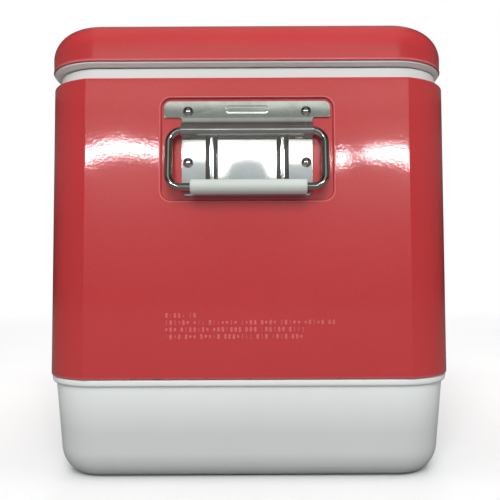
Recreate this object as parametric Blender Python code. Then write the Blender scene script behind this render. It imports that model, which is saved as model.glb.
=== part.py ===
"""Steel-belted picnic cooler chest with a hinged lid, two bail handles, a hasp latch and a drain.

Metres, +Z up. The origin is the middle of the flat underside. The length runs along X, the
latch faces -Y, the lid hinges on the +Y side and the bail handles hang on the two ends.
"""
import math

import bmesh
import bpy

# ---- Driving dimensions, in metres ----
LENGTH = 0.610              # steel belt, end to end
WIDTH = 0.370               # steel belt, front to back
CORNER_RADIUS = 0.052       # belt's vertical corners
GAP = 0.0003                # clearance between parts that touch
SHEET = 0.0008              # belt and lid skin thickness

BELT_BOTTOM = 0.0900
BELT_TOP = 0.3550
COLLAR_TOP = 0.3657         # liner's top face
LID_RIM_BOTTOM = 0.3663
LID_SKIN_BOTTOM = 0.3700
UPSTAND_TOP = 0.3850        # inner lid's upstand, inside the skin
LID_INSET = 0.0002          # lid's sides against the belt's
LID_SHIFT = 0.0014          # the closed lid sits this far towards the latch
LID_EDGE_HEIGHT = 0.3828    # where the lid's rounded edge starts
LID_EDGE_TOP = 0.4123       # where it runs into the crown
LID_EDGE_DEPTH = 0.0345     # how far in from the sides it runs
LID_TOP = 0.4148            # top of the crown

PANEL_WIDTH = 0.1539        # recessed panel in each end
PANEL_BOTTOM = 0.2444
PANEL_TOP = 0.3375
PANEL_DEPTH = 0.0018
PANEL_RADIUS = 0.010

MOUTH_INSET = 0.0332        # liner's opening against the belt's sides
MOUTH_RADIUS = 0.036
LINER_FLOOR = 0.0420
LINER_DRAFT = 0.0062        # how much further in the walls are at the floor
LINER_WALL = 0.0025
LINER_FILLET = 0.008

PLATE = 0.0012              # handle plate, hinge and latch sheet
EAR_HALF = 0.0735           # handle plate's upper flange, half its width
EAR_BOTTOM = 0.3191
PLATE_TOP = 0.3338
PLATE_HALF = 0.0577         # its lower part, half its width
PLATE_BOTTOM = 0.2496
RIVET_Y = 0.0520
RIVET_HEIGHTS = (0.3244, 0.2789)
PIVOT_OUT = 0.0065          # bail's pivot, out from the recessed panel
PIVOT_HEIGHT = 0.3060
BAIL_HALF = 0.0680          # bail's centre line
BAIL_DROP = 0.0503
BAIL_CORNER = 0.0110
ROD_RADIUS = 0.0035
SLEEVE_RADIUS = 0.0050
GRIP_RADIUS = 0.0065
GRIP_HALF = 0.0502
GRIP_SHIFT = 0.0016         # the grip sits a little to one side on its bar
RIB_Y = 0.0312
RIB_HALF = 0.0055
RIB_PROUD = 0.0035

HINGE_X = 0.190             # hinges, each side of the middle
HINGE_OUT = 0.0035          # hinge axis, out from the belt's back
HINGE_HEIGHT = 0.3660
HINGE_HALF = 0.035
HINGE_LEAF_BOTTOM = 0.3230
HINGE_LEAF_TOP = 0.3826
KNUCKLE_RADIUS = 0.0032
LID_KNUCKLE_HALF = 0.0140
PIN_RADIUS = 0.0015

LATCH_OUT = 0.0055          # latch axis, out from the belt's front
LATCH_HEIGHT = 0.3243
LATCH_HALF = 0.033
LEVER_HALF = 0.022
LATCH_REACH = 0.0480        # latch axis to the hook's underside
LATCH_SWING = math.radians(170)
LATCH_PLATE_BOTTOM = 0.2620
LATCH_PLATE_TOP = 0.3525
LATCH_RIVET_Y = 0.0272
STRIKE_RIVET_Y = 0.0180
STRIKE_RIVET_HEIGHT = 0.3771

DRAIN_HEIGHT = 0.0620
DRAIN_BOSS_FACE = 0.3000    # boss's flat face, out from the middle of the chest
DRAIN_BOSS_RADIUS = 0.0180
DRAIN_TUBE_RADIUS = 0.0100
DRAIN_BORE_RADIUS = 0.0070

CORNER_STEPS = 6            # facets in each vertical corner
ROUND_STEPS = 12            # facets round a tube
DRAIN_STEPS = 16            # facets round the drain's pieces
RIVET_STEPS = 8             # facets round a rivet

STEEL_RED = ((0.52, 0.05, 0.05), 0.25, 0.1)
WHITE_PLASTIC = ((0.78, 0.80, 0.79), 0.45, 0.0)
GREY_PLASTIC = ((0.60, 0.62, 0.60), 0.45, 0.0)
STAINLESS = ((0.72, 0.71, 0.69), 0.2, 1.0)
RUBBER = ((0.10, 0.10, 0.10), 0.8, 0.0)
FOAM = ((0.85, 0.78, 0.55), 0.9, 0.0)


# ---- Building blocks ----
def clear_scene():
    for item in list(bpy.data.objects):
        bpy.data.objects.remove(item, do_unlink=True)


def make_material(name, finish):
    colour, roughness, metallic = finish
    material = bpy.data.materials.new(name)
    material.use_nodes = True
    shader = material.node_tree.nodes["Principled BSDF"]
    shader.inputs["Base Color"].default_value = (*colour, 1.0)
    shader.inputs["Roughness"].default_value = roughness
    shader.inputs["Metallic"].default_value = metallic
    return material


def add_object(name, data, finish=None, parent=None):
    """Link one object, give it a material of its own and shade its round faces smooth."""
    item = bpy.data.objects.new(name, data)
    bpy.context.collection.objects.link(item)
    item.parent = parent
    if isinstance(data, bpy.types.Mesh):
        data.shade_smooth()
        data.set_sharp_from_angle(angle=math.radians(35))
    if finish:
        data.materials.append(make_material(name, finish))
    return item


def add_empty(name, location, rotation=(0.0, 0.0, 0.0), parent=None):
    empty = bpy.data.objects.new(name, None)
    bpy.context.collection.objects.link(empty)
    empty.location, empty.rotation_euler = location, rotation
    empty.parent = parent
    return empty


def skin(loops, ring=False):
    """One closed mesh through loops with equal numbers of points: capped, or joined in a ring."""
    shape = bmesh.new()
    rows = [[shape.verts.new(point) for point in loop] for loop in loops]
    count = len(rows[0])
    pairs = list(zip(rows, rows[1:])) + ([(rows[-1], rows[0])] if ring else [])
    for low, high in pairs:
        for i in range(count):
            j = (i + 1) % count
            shape.faces.new((low[i], low[j], high[j], high[i]))
    if not ring:
        shape.faces.new(rows[0])
        shape.faces.new(rows[-1])
    bmesh.ops.recalc_face_normals(shape, faces=shape.faces)
    mesh = bpy.data.meshes.new("shape")
    shape.to_mesh(mesh)
    shape.free()
    return mesh


def merge(meshes):
    """Put separate shapes into one mesh, for a cutter that makes several cuts."""
    shape = bmesh.new()
    for mesh in meshes:
        shape.from_mesh(mesh)
    mesh = bpy.data.meshes.new("shapes")
    shape.to_mesh(mesh)
    shape.free()
    return mesh


def boolean(item, mesh, operation):
    """Cut with, or join, a tool that sits in the same frame as the object."""
    tool = bpy.data.objects.new(f"{item.name}_{operation.lower()}_tool", mesh)
    bpy.context.collection.objects.link(tool)
    tool.parent = item
    tool.hide_render = True
    tool.display_type = "WIRE"
    modifier = item.modifiers.new(operation.title(), "BOOLEAN")
    modifier.operation = operation
    modifier.solver = "EXACT"
    modifier.object = tool


def arc(centre, radius, start, end, steps):
    """Points of an arc in a plane, angles in degrees, both ends included."""
    points = []
    for step in range(steps + 1):
        angle = math.radians(start + (end - start) * step / steps)
        points.append((centre[0] + radius * math.cos(angle), centre[1] + radius * math.sin(angle)))
    return points


def rounded_outline(low, high, radius, steps=4):
    """A rectangle with round corners, from its low corner to its high corner."""
    points = []
    for corner, (u, v) in enumerate(((high[0] - radius, high[1] - radius),
                                     (low[0] + radius, high[1] - radius),
                                     (low[0] + radius, low[1] + radius),
                                     (high[0] - radius, low[1] + radius))):
        points += arc((u, v), radius, 90 * corner, 90 * corner + 90, steps)
    return points


def prism_x(outline, low, high):
    """Extrude an outline of (y, z) points along X."""
    return skin([[(x, y, z) for y, z in outline] for x in (low, high)])


def prism_y(outline, low, high):
    """Extrude an outline of (x, z) points along Y."""
    return skin([[(x, y, z) for x, z in outline] for y in (low, high)])


def block(low, high):
    return prism_x(rounded_outline(low[1:], high[1:], 0.0, 1)[::2], low[0], high[0])


def rod_y(radius, low, high, x=0.0, z=0.0, steps=ROUND_STEPS):
    return prism_y(arc((x, z), radius, 0, 360, steps)[:-1], low, high)


def lathe_x(profile, steps=ROUND_STEPS, y=0.0, z=0.0, ring=False):
    """Turn a profile of (x, radius) points about a line parallel to X."""
    loops = [[(x, y + v, z + w) for v, w in arc((0.0, 0.0), radius, 0, 360, steps)[:-1]]
             for x, radius in profile]
    return skin(loops, ring)


# ---- Shell sections: (inset from the belt's sides, height, corner radius) ----
def outside(inset, height):
    return inset, height, max(CORNER_RADIUS - inset, 0.008)


def inside(inset, height):
    return inset, height, MOUTH_RADIUS - (inset - MOUTH_INSET)


def edge(centre, size, start, end, steps, family):
    """A rounded edge in section: an elliptical arc with angles in degrees."""
    points = []
    for step in range(steps + 1):
        angle = math.radians(start + (end - start) * step / steps)
        points.append(family(centre[0] - size[0] * math.cos(angle), centre[1] + size[1] * math.sin(angle)))
    return points


def shell(sections, ring=False):
    """Loft rounded-rectangle sections, from the first to the last, into one closed mesh."""
    loops = []
    for inset, height, radius in sections:
        low = (-LENGTH / 2 + inset, -WIDTH / 2 + inset)
        high = (LENGTH / 2 - inset, WIDTH / 2 - inset)
        loops.append([(x, y, height) for x, y in rounded_outline(low, high, radius, CORNER_STEPS)])
    return skin(loops, ring)


def drafted(height):
    """How far in the liner's inner wall is at a height."""
    return MOUTH_INSET + LINER_DRAFT * (COLLAR_TOP - height) / (COLLAR_TOP - LINER_FLOOR)


# ---- Rivets ----
def rivet_mesh(head_radius, head_height, shank_radius, stack):
    """A domed rivet along X: x = 0 is the outer face it clamps, and its tail is behind the stack."""
    tail_radius, tail_height = 1.45 * shank_radius, 0.0016
    tail = -stack - GAP
    profile = [(tail - tail_height, 0.8 * tail_radius), (tail, tail_radius), (tail, shank_radius),
               (GAP, shank_radius), (GAP, head_radius)]
    for angle in (35, 70):
        turn = math.radians(angle)
        profile.append((GAP + head_height * math.sin(turn), head_radius * math.cos(turn)))
    return lathe_x(profile, RIVET_STEPS)


def add_rivets(name, mesh, places, parent):
    """Copies of one rivet, numbered, at (x, y, z) places in the parent's frame."""
    for number, place in enumerate(places, 1):
        rivet = add_object(f"{name}_{number}", mesh.copy(), STAINLESS, parent)
        rivet.location = place


def rivet_holes(places, shank_radius, low, high):
    """Clearance holes along X between two depths, at (y, z) places."""
    radius = shank_radius + GAP
    return [lathe_x([(low, radius), (high, radius)], RIVET_STEPS, y, z) for y, z in places]


# ---- Body ----
def placed(mesh, location, turn):
    """A copy of a mesh moved to a mount: turned about Z, then shifted."""
    copy = mesh.copy()
    cosine, sine = round(math.cos(turn)), round(math.sin(turn))
    for vertex in copy.vertices:
        x, y, z = vertex.co
        vertex.co = (location[0] + cosine * x - sine * y, location[1] + sine * x + cosine * y, location[2] + z)
    return copy


def panel_tray(grow, depth_low, depth_high):
    """A rounded rectangle with sloping sides, on the end face at +X."""
    slope = 0.0016
    loops = []
    for depth, spread in ((depth_low, grow), (depth_high, grow + slope)):
        outline = rounded_outline((-PANEL_WIDTH / 2 - spread, PANEL_BOTTOM - spread),
                                  (PANEL_WIDTH / 2 + spread, PANEL_TOP + spread), PANEL_RADIUS + spread)
        loops.append([(LENGTH / 2 + depth, y, z) for y, z in outline])
    return skin(loops)


def make_belt(holes):
    """The steel belt: one sheet round the body, flanged in at top and bottom, with end recesses."""
    bend = 0.0016
    sections = [outside(0.0030, BELT_BOTTOM), outside(0.0009, BELT_BOTTOM), outside(0.0, BELT_BOTTOM + 0.0009)]
    sections += edge((bend, BELT_TOP - bend), (bend, bend), 0, 90, 3, outside)
    sections += [outside(0.0082, BELT_TOP), outside(0.0082, BELT_TOP - SHEET), outside(bend, BELT_TOP - SHEET),
                 outside(SHEET, BELT_TOP - bend), outside(SHEET, BELT_BOTTOM + 0.0014),
                 outside(0.0014, BELT_BOTTOM + SHEET), outside(0.0030, BELT_BOTTOM + SHEET)]
    belt = add_object("steel_belt", shell(sections, ring=True), STEEL_RED)
    pressed = panel_tray(-0.0016 + SHEET, -PANEL_DEPTH - SHEET, -SHEET / 2)
    recess = panel_tray(-0.0016, -PANEL_DEPTH, 0.0004)
    boolean(belt, merge([placed(pressed, (0, 0, 0), turn) for turn in (0, math.pi)]), "UNION")
    cuts = [placed(recess, (0, 0, 0), turn) for turn in (0, math.pi)]
    boolean(belt, merge(cuts), "DIFFERENCE")
    boolean(belt, merge(holes), "DIFFERENCE")


def make_base():
    """The moulded base: a drafted pan with a round lip under the belt and a tongue inside it."""
    floor, foot = 0.0065, 0.0100
    fillet = (0.0225, 0.0275)
    sections = edge((foot + 0.0260, floor + 0.0220), (0.0225, 0.0220), -90, 0, 5, outside)
    for inset, below in ((0.0083, 0.0065), (0.0059, 0.0003), (0.0059, -0.0120), (0.0035, -0.0120),
                         (0.0035, 0.0003), (0.0023, 0.0005), (0.0020, 0.0020), (0.0026, 0.0045),
                         (0.0042, 0.0060), (0.0048, 0.0065)):
        sections.append(outside(inset, BELT_BOTTOM - below))
    sections += edge((foot + fillet[0], fillet[1]), fillet, 0, -90, 6, outside)
    base = add_object("base_pan", shell(sections), WHITE_PLASTIC)
    radius = DRAIN_BOSS_RADIUS
    boss = lathe_x([(-0.2900, radius), (-DRAIN_BOSS_FACE + 0.0008, radius), (-DRAIN_BOSS_FACE, radius - 0.0008)],
                   DRAIN_STEPS, z=DRAIN_HEIGHT)
    boolean(base, boss, "UNION")
    pocket_depth, rib_half = 0.0025, 0.010
    pockets = [lathe_x([(-0.3100, DRAIN_TUBE_RADIUS + GAP), (-0.2800, DRAIN_TUBE_RADIUS + GAP)],
                       DRAIN_STEPS, z=DRAIN_HEIGHT)]
    for side_x in (-1, 1):
        for side_y in (-1, 1):
            xs = sorted((side_x * rib_half, side_x * (LENGTH / 2 - 0.055)))
            ys = sorted((side_y * rib_half, side_y * (WIDTH / 2 - 0.055)))
            outline = rounded_outline((xs[0], ys[0]), (xs[1], ys[1]), 0.012)
            pockets.append(skin([[(x, y, z) for x, y in outline] for z in (-0.001, pocket_depth)]))
    boolean(base, merge(pockets), "DIFFERENCE")


def make_liner():
    """The moulded liner: a drafted tub with a broad flange whose outer edge is the white collar."""
    floor_inset = drafted(LINER_FLOOR + LINER_FILLET)
    mouth_round = 0.003
    sections = edge((floor_inset + LINER_FILLET, LINER_FLOOR + LINER_FILLET), (LINER_FILLET, LINER_FILLET),
                    -90, 0, 3, inside)
    sections += edge((MOUTH_INSET - mouth_round, COLLAR_TOP - mouth_round), (-mouth_round, mouth_round),
                     0, 90, 3, inside)
    sections += [outside(0.0080, COLLAR_TOP), outside(0.0064, COLLAR_TOP - 0.0006),
                 outside(0.0059, COLLAR_TOP - 0.0020), outside(0.0054, BELT_TOP + GAP),
                 outside(0.0090, BELT_TOP + GAP), outside(0.0092, COLLAR_TOP - 0.0030)]
    outer_top = MOUTH_INSET - LINER_WALL
    sections += [inside(outer_top, COLLAR_TOP - 0.0030)]
    outer_round = LINER_FILLET + LINER_WALL
    sections += edge((floor_inset + LINER_FILLET, LINER_FLOOR + LINER_FILLET), (outer_round, outer_round),
                     0, -90, 3, inside)
    liner = add_object("inner_liner", shell(sections), WHITE_PLASTIC)
    radius = DRAIN_TUBE_RADIUS + GAP
    hole = lathe_x([(-0.2900, radius), (-0.2500, radius)], DRAIN_STEPS, z=DRAIN_HEIGHT)
    boolean(liner, hole, "DIFFERENCE")


def make_body_foam(pockets):
    """The insulation between belt, base and liner."""
    floor_inset = drafted(LINER_FLOOR + LINER_FILLET)
    top, room = BELT_TOP - 0.0025, 0.0004
    inner_round = LINER_FILLET + LINER_WALL + room
    sections = edge((0.0360, 0.0285), (0.0221, 0.0216), -90, 0, 4, outside)
    sections += [outside(0.0087, BELT_BOTTOM - 0.0067), outside(0.0063, BELT_BOTTOM - 0.0005),
                 outside(0.0063, BELT_BOTTOM + 0.0125), outside(0.0012, BELT_BOTTOM + 0.0125),
                 outside(0.0012, BELT_TOP - 0.0032), outside(0.0030, top),
                 inside(drafted(top) - LINER_WALL - room, top)]
    sections += edge((floor_inset + LINER_FILLET, LINER_FLOOR + LINER_FILLET), (inner_round, inner_round),
                     0, -90, 3, inside)
    foam = add_object("body_foam", shell(sections), FOAM)
    boolean(foam, merge(pockets), "DIFFERENCE")


# ---- Lid ----
def crown(inset, drop=0.0):
    """The crown's height at an inset from the lid's sides."""
    reach = min(max((inset - LID_EDGE_DEPTH) / (WIDTH / 2 - LID_EDGE_DEPTH), 0.0), 1.0)
    return LID_EDGE_TOP + (LID_TOP - LID_EDGE_TOP) * (1 - (1 - reach) ** 2) - drop


def lid_dome(offset, start, steps=6):
    """Sections of the lid's rounded edge and crown, from a height up to the middle of the top."""
    depth, rise = LID_EDGE_DEPTH - offset, LID_EDGE_TOP - LID_EDGE_HEIGHT - offset
    sections = [outside(LID_INSET + offset, start)]
    sections += edge((LID_INSET + LID_EDGE_DEPTH, LID_EDGE_HEIGHT), (depth, rise), 0, 90, steps, outside)
    for inset in (0.080, 0.130, 0.174):
        sections.append(outside(inset, crown(inset, offset)))
    return sections


def make_lid(pivot, skin_holes, foam_pockets):
    """The lid: a steel skin, a moulded inner lid with a rim and a plug, insulation and a gasket."""
    place = (-pivot.location.x, -pivot.location.y - LID_SHIFT, -pivot.location.z)
    hem = 0.0014
    skin_sections = lid_dome(SHEET, LID_SKIN_BOTTOM + hem, 4)[::-1]
    skin_sections += [outside(LID_INSET + SHEET, LID_SKIN_BOTTOM + 0.0002), outside(LID_INSET + 0.0002, LID_SKIN_BOTTOM)]
    skin_sections += lid_dome(0.0, LID_SKIN_BOTTOM + hem)
    lid_skin = add_object("lid_skin", shell(skin_sections), STEEL_RED, pivot)

    rim, face = LID_SKIN_BOTTOM - GAP, LID_RIM_BOTTOM
    groove = face + 0.0014
    sections = [inside(0.0550, face - 0.0015), inside(0.0535, face - 0.0072), inside(0.0385, face - 0.0072),
                inside(0.0370, face + 0.0028), outside(0.0080, face + 0.0028), outside(0.0051, face + 0.0053),
                outside(0.0050, UPSTAND_TOP), outside(0.0024, UPSTAND_TOP), outside(0.0024, rim + 0.0005),
                outside(0.0020, rim), outside(0.0009, rim - 0.0002), outside(0.0012, rim - 0.0012),
                outside(0.0044, face + 0.0003), outside(0.0050, face), outside(0.0100, face),
                outside(0.0100, groove), outside(0.0170, groove), outside(0.0170, face),
                inside(0.0348, face), inside(0.0362, face - 0.0014), inside(0.0366, face - 0.0087),
                inside(0.0376, face - 0.0097), inside(0.0548, face - 0.0097), inside(0.0560, face - 0.0087),
                inside(0.0575, face - 0.0040)]
    inner_lid = add_object("lid_liner", shell(sections), WHITE_PLASTIC, pivot)

    foam_sections = [inside(0.0555, face - 0.0012), inside(0.0375, face + 0.0032),
                     outside(0.0084, face + 0.0032), outside(0.0055, face + 0.0058)]
    foam_sections += lid_dome(0.0050, LID_EDGE_HEIGHT, 4)
    lid_foam = add_object("lid_foam", shell(foam_sections), FOAM, pivot)

    seal = [outside(0.0103, groove - GAP), outside(0.0103, face - GAP), outside(0.0118, COLLAR_TOP + GAP),
            outside(0.0152, COLLAR_TOP + GAP), outside(0.0167, face - GAP), outside(0.0167, groove - GAP)]
    gasket = add_object("lid_gasket", shell(seal, ring=True), RUBBER, pivot)

    for item in (lid_skin, inner_lid, lid_foam, gasket):
        item.location = place
    boolean(lid_skin, merge(skin_holes), "DIFFERENCE")
    boolean(inner_lid, merge(skin_holes), "DIFFERENCE")
    boolean(lid_foam, merge(foam_pockets), "DIFFERENCE")


# ---- Handles: x is out from the recessed panel, y across it, z up ----
HANDLE_RIVETS = [(side * RIVET_Y, height) for height in RIVET_HEIGHTS for side in (-1, 1)]
HANDLE_SHANK = 0.0022


def handle_plate_mesh():
    """The flat plate: a broad upper flange with ears over a narrower lower part."""
    ear_corner, step_corner, foot_corner = 0.006, 0.002, 0.005
    half = []
    half += arc((PLATE_HALF - foot_corner, PLATE_BOTTOM + foot_corner), foot_corner, -90, 0, 3)
    half += arc((PLATE_HALF + step_corner, EAR_BOTTOM - step_corner), step_corner, 180, 90, 2)
    half += arc((EAR_HALF - step_corner, EAR_BOTTOM + step_corner), step_corner, -90, 0, 2)
    half += arc((EAR_HALF - ear_corner, PLATE_TOP - ear_corner), ear_corner, 0, 90, 4)
    outline = half + [(-y, z) for y, z in reversed(half)]
    return prism_x(outline, GAP, GAP + PLATE)


def sleeve_mesh():
    """The rolled sleeve: the sheet bends out under the ears and wraps round the bail's top bar."""
    back = GAP + PLATE / 2
    centre = (PIVOT_OUT, PIVOT_HEIGHT)
    outline = [(back, EAR_BOTTOM - 0.0005), (GAP + PLATE, EAR_BOTTOM - 0.0005),
               (0.0030, EAR_BOTTOM - 0.0020), (0.0052, EAR_BOTTOM - 0.0055)]
    outline += arc(centre, SLEEVE_RADIUS, 62, -118, 9)
    outline += [(GAP + PLATE, PIVOT_HEIGHT - 0.0062), (back, PIVOT_HEIGHT - 0.0062)]
    return prism_y(outline, -PLATE_HALF, PLATE_HALF)


def rib_mesh(y):
    """A half-round vertical rib, its ends rounded over."""
    low, high = PLATE_BOTTOM + 0.003, PIVOT_HEIGHT - 0.002
    base = GAP + PLATE / 2
    loops = []
    for height, scale in ((low, 0.45), (low + 0.0025, 0.9), (low + 0.005, 1.0), (high, 1.0)):
        proud = RIB_PROUD * scale + PLATE / 2
        loops.append([(base + proud * math.sin(angle), y + RIB_HALF * scale * math.cos(angle), height)
                      for angle in (math.radians(180 * step / 8) for step in range(9))])
    return skin(loops)


def bail_curve(name):
    """The bail: one rod bent into a closed round-cornered frame, hanging from the pivot."""
    curve = bpy.data.curves.new(name, "CURVE")
    curve.dimensions = "3D"
    curve.bevel_depth = ROD_RADIUS
    curve.bevel_resolution = 2
    path = rounded_outline((-BAIL_HALF, -BAIL_DROP), (BAIL_HALF, 0.0), BAIL_CORNER, 6)
    spline = curve.splines.new("POLY")
    spline.points.add(len(path) - 1)
    for point, (y, z) in zip(spline.points, path):
        point.co = (0.0, y, z, 1.0)
    spline.use_cyclic_u = True
    return curve


def grip_mesh():
    """The grip: a plastic sleeve on the bail's bottom bar."""
    bore = ROD_RADIUS + GAP
    profile = [(-GRIP_HALF, bore), (-GRIP_HALF, GRIP_RADIUS - 0.0015), (-GRIP_HALF + 0.0015, GRIP_RADIUS),
               (GRIP_HALF - 0.0015, GRIP_RADIUS), (GRIP_HALF, GRIP_RADIUS - 0.0015), (GRIP_HALF, bore)]
    loops = [[(v, y, -BAIL_DROP + w) for v, w in arc((0.0, 0.0), radius, 0, 360, ROUND_STEPS)[:-1]]
             for y, radius in profile]
    return skin(loops, ring=True)


def make_handle(side, turn):
    """One end's handle: riveted plate, bail in its sleeve, and grip."""
    end = add_empty(f"end_mount_{side}", (math.cos(turn) * (LENGTH / 2 - PANEL_DEPTH), 0, 0), (0, 0, turn))
    plate = add_object(f"handle_plate_{side}", handle_plate_mesh(), STAINLESS, end)
    boolean(plate, sleeve_mesh(), "UNION")
    boolean(plate, merge([rib_mesh(-RIB_Y), rib_mesh(RIB_Y)]), "UNION")
    bore = rod_y(ROD_RADIUS + GAP, -EAR_HALF, EAR_HALF, PIVOT_OUT, PIVOT_HEIGHT)
    boolean(plate, merge([bore] + rivet_holes(HANDLE_RIVETS, HANDLE_SHANK, -0.001, 0.003)), "DIFFERENCE")
    rivet = rivet_mesh(0.00445, 0.0022, HANDLE_SHANK, GAP + PLATE + SHEET)
    add_rivets(f"handle_rivet_{side}", rivet, [(GAP + PLATE, y, z) for y, z in HANDLE_RIVETS], end)
    lean = math.asin((GAP + PLATE + RIB_PROUD + GAP + GRIP_RADIUS - PIVOT_OUT) / BAIL_DROP)
    pivot = add_empty(f"bail_pivot_{side}", (PIVOT_OUT, 0, PIVOT_HEIGHT), (0, -lean, 0), end)
    add_object(f"handle_bail_{side}", bail_curve(f"handle_bail_{side}"), STAINLESS, pivot)
    grip = add_object(f"handle_grip_{side}", grip_mesh(), GREY_PLASTIC, pivot)
    grip.location.y = GRIP_SHIFT


# ---- Hinges: x is out from the belt's back, y along it, z up ----
HINGE_SHANK = 0.0016
BODY_LEAF_RIVETS = [(side * 0.024, 0.3350) for side in (-1, 1)]
LID_LEAF_RIVETS = [(side * 0.025, 0.3770) for side in (-1, 1)]


def make_hinge(side, x, lid_pivot):
    """One hinge: a leaf on the belt, a leaf on the lid and the pin through their knuckles."""
    turn = math.pi / 2
    mount = add_empty(f"hinge_mount_{side}", (x, WIDTH / 2, 0), (0, 0, turn))
    lid_mount = add_empty(f"hinge_lid_mount_{side}", (x, WIDTH / 2 - lid_pivot.location.y, -lid_pivot.location.z),
                          (0, 0, turn), lid_pivot)
    axis = dict(x=HINGE_OUT, z=HINGE_HEIGHT)
    bore = rod_y(PIN_RADIUS + GAP, -HINGE_HALF - 0.001, HINGE_HALF + 0.001, **axis)
    slot = LID_KNUCKLE_HALF + GAP

    leaf = rounded_outline((-HINGE_HALF, HINGE_LEAF_BOTTOM), (HINGE_HALF, HINGE_HEIGHT), 0.004)
    body_leaf = add_object(f"hinge_body_leaf_{side}", prism_x(leaf, GAP, GAP + PLATE), STAINLESS, mount)
    boolean(body_leaf, rod_y(KNUCKLE_RADIUS, -HINGE_HALF, HINGE_HALF, **axis), "UNION")
    notch = block((-0.002, -slot, HINGE_HEIGHT - 0.0048), (0.010, slot, HINGE_HEIGHT + 0.010))
    boolean(body_leaf, notch, "DIFFERENCE")
    cuts = [bore] + rivet_holes(BODY_LEAF_RIVETS, HINGE_SHANK, -0.001, 0.003)
    boolean(body_leaf, merge(cuts), "DIFFERENCE")

    wall = GAP - LID_INSET - LID_SHIFT
    upper = rounded_outline((-HINGE_HALF, HINGE_HEIGHT + 0.0042), (HINGE_HALF, HINGE_LEAF_TOP), 0.0025)
    lid_leaf = add_object(f"hinge_lid_leaf_{side}", prism_x(upper, wall, wall + PLATE), STAINLESS, lid_mount)
    web = block((wall, -LID_KNUCKLE_HALF, HINGE_HEIGHT - 0.0005),
                (HINGE_OUT, LID_KNUCKLE_HALF, HINGE_HEIGHT + 0.0050))
    knuckle = rod_y(KNUCKLE_RADIUS, -LID_KNUCKLE_HALF + 0.0001, LID_KNUCKLE_HALF - 0.0001, **axis)
    boolean(lid_leaf, web, "UNION")
    boolean(lid_leaf, knuckle, "UNION")
    boolean(lid_leaf, merge([bore] + rivet_holes(LID_LEAF_RIVETS, HINGE_SHANK, -0.002, 0.003)), "DIFFERENCE")

    add_object(f"hinge_pin_{side}", rod_y(PIN_RADIUS, -HINGE_HALF, HINGE_HALF, steps=12, **axis), STAINLESS, mount)
    body_rivet = rivet_mesh(0.0030, 0.0014, HINGE_SHANK, GAP + PLATE + SHEET)
    add_rivets(f"hinge_body_rivet_{side}", body_rivet, [(GAP + PLATE, y, z) for y, z in BODY_LEAF_RIVETS], mount)
    lid_rivet = rivet_mesh(0.0030, 0.0014, HINGE_SHANK, LID_STACK)
    add_rivets(f"hinge_lid_rivet_{side}", lid_rivet, [(wall + PLATE, y, z) for y, z in LID_LEAF_RIVETS], lid_mount)


LID_STACK = GAP + PLATE + 0.0051 - LID_INSET   # leaf, lid skin and the inner lid's upstand


# ---- Latch: x is out from the belt's front, y along it, z up ----
LATCH_SHANK = 0.0016
LATCH_RIVETS = [(side * LATCH_RIVET_Y, height) for height in (0.3440, 0.2720) for side in (-1, 1)]
STRIKE_RIVETS = [(side * STRIKE_RIVET_Y, STRIKE_RIVET_HEIGHT) for side in (-1, 1)]


def lever_outline():
    """The closed lever in section, with its axis at the origin: strap, hook inwards, tab outwards."""
    strap_in, strap_out, sheet = KNUCKLE_RADIUS - 0.0014, KNUCKLE_RADIUS, 0.0014
    reach = LATCH_REACH
    return [(strap_in, 0.0), (strap_out, 0.0), (strap_out, reach - 0.0040), (strap_out + 0.0012, reach + 0.0016),
            (strap_out + 0.0040, reach + 0.0056), (0.0110, reach + 0.0085), (0.0102, reach + 0.0097),
            (strap_out + 0.0026, reach + 0.0065), (strap_out - 0.0006, reach + sheet),
            (-0.0025, reach + sheet), (-0.0025, reach), (strap_in, reach)]


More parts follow.
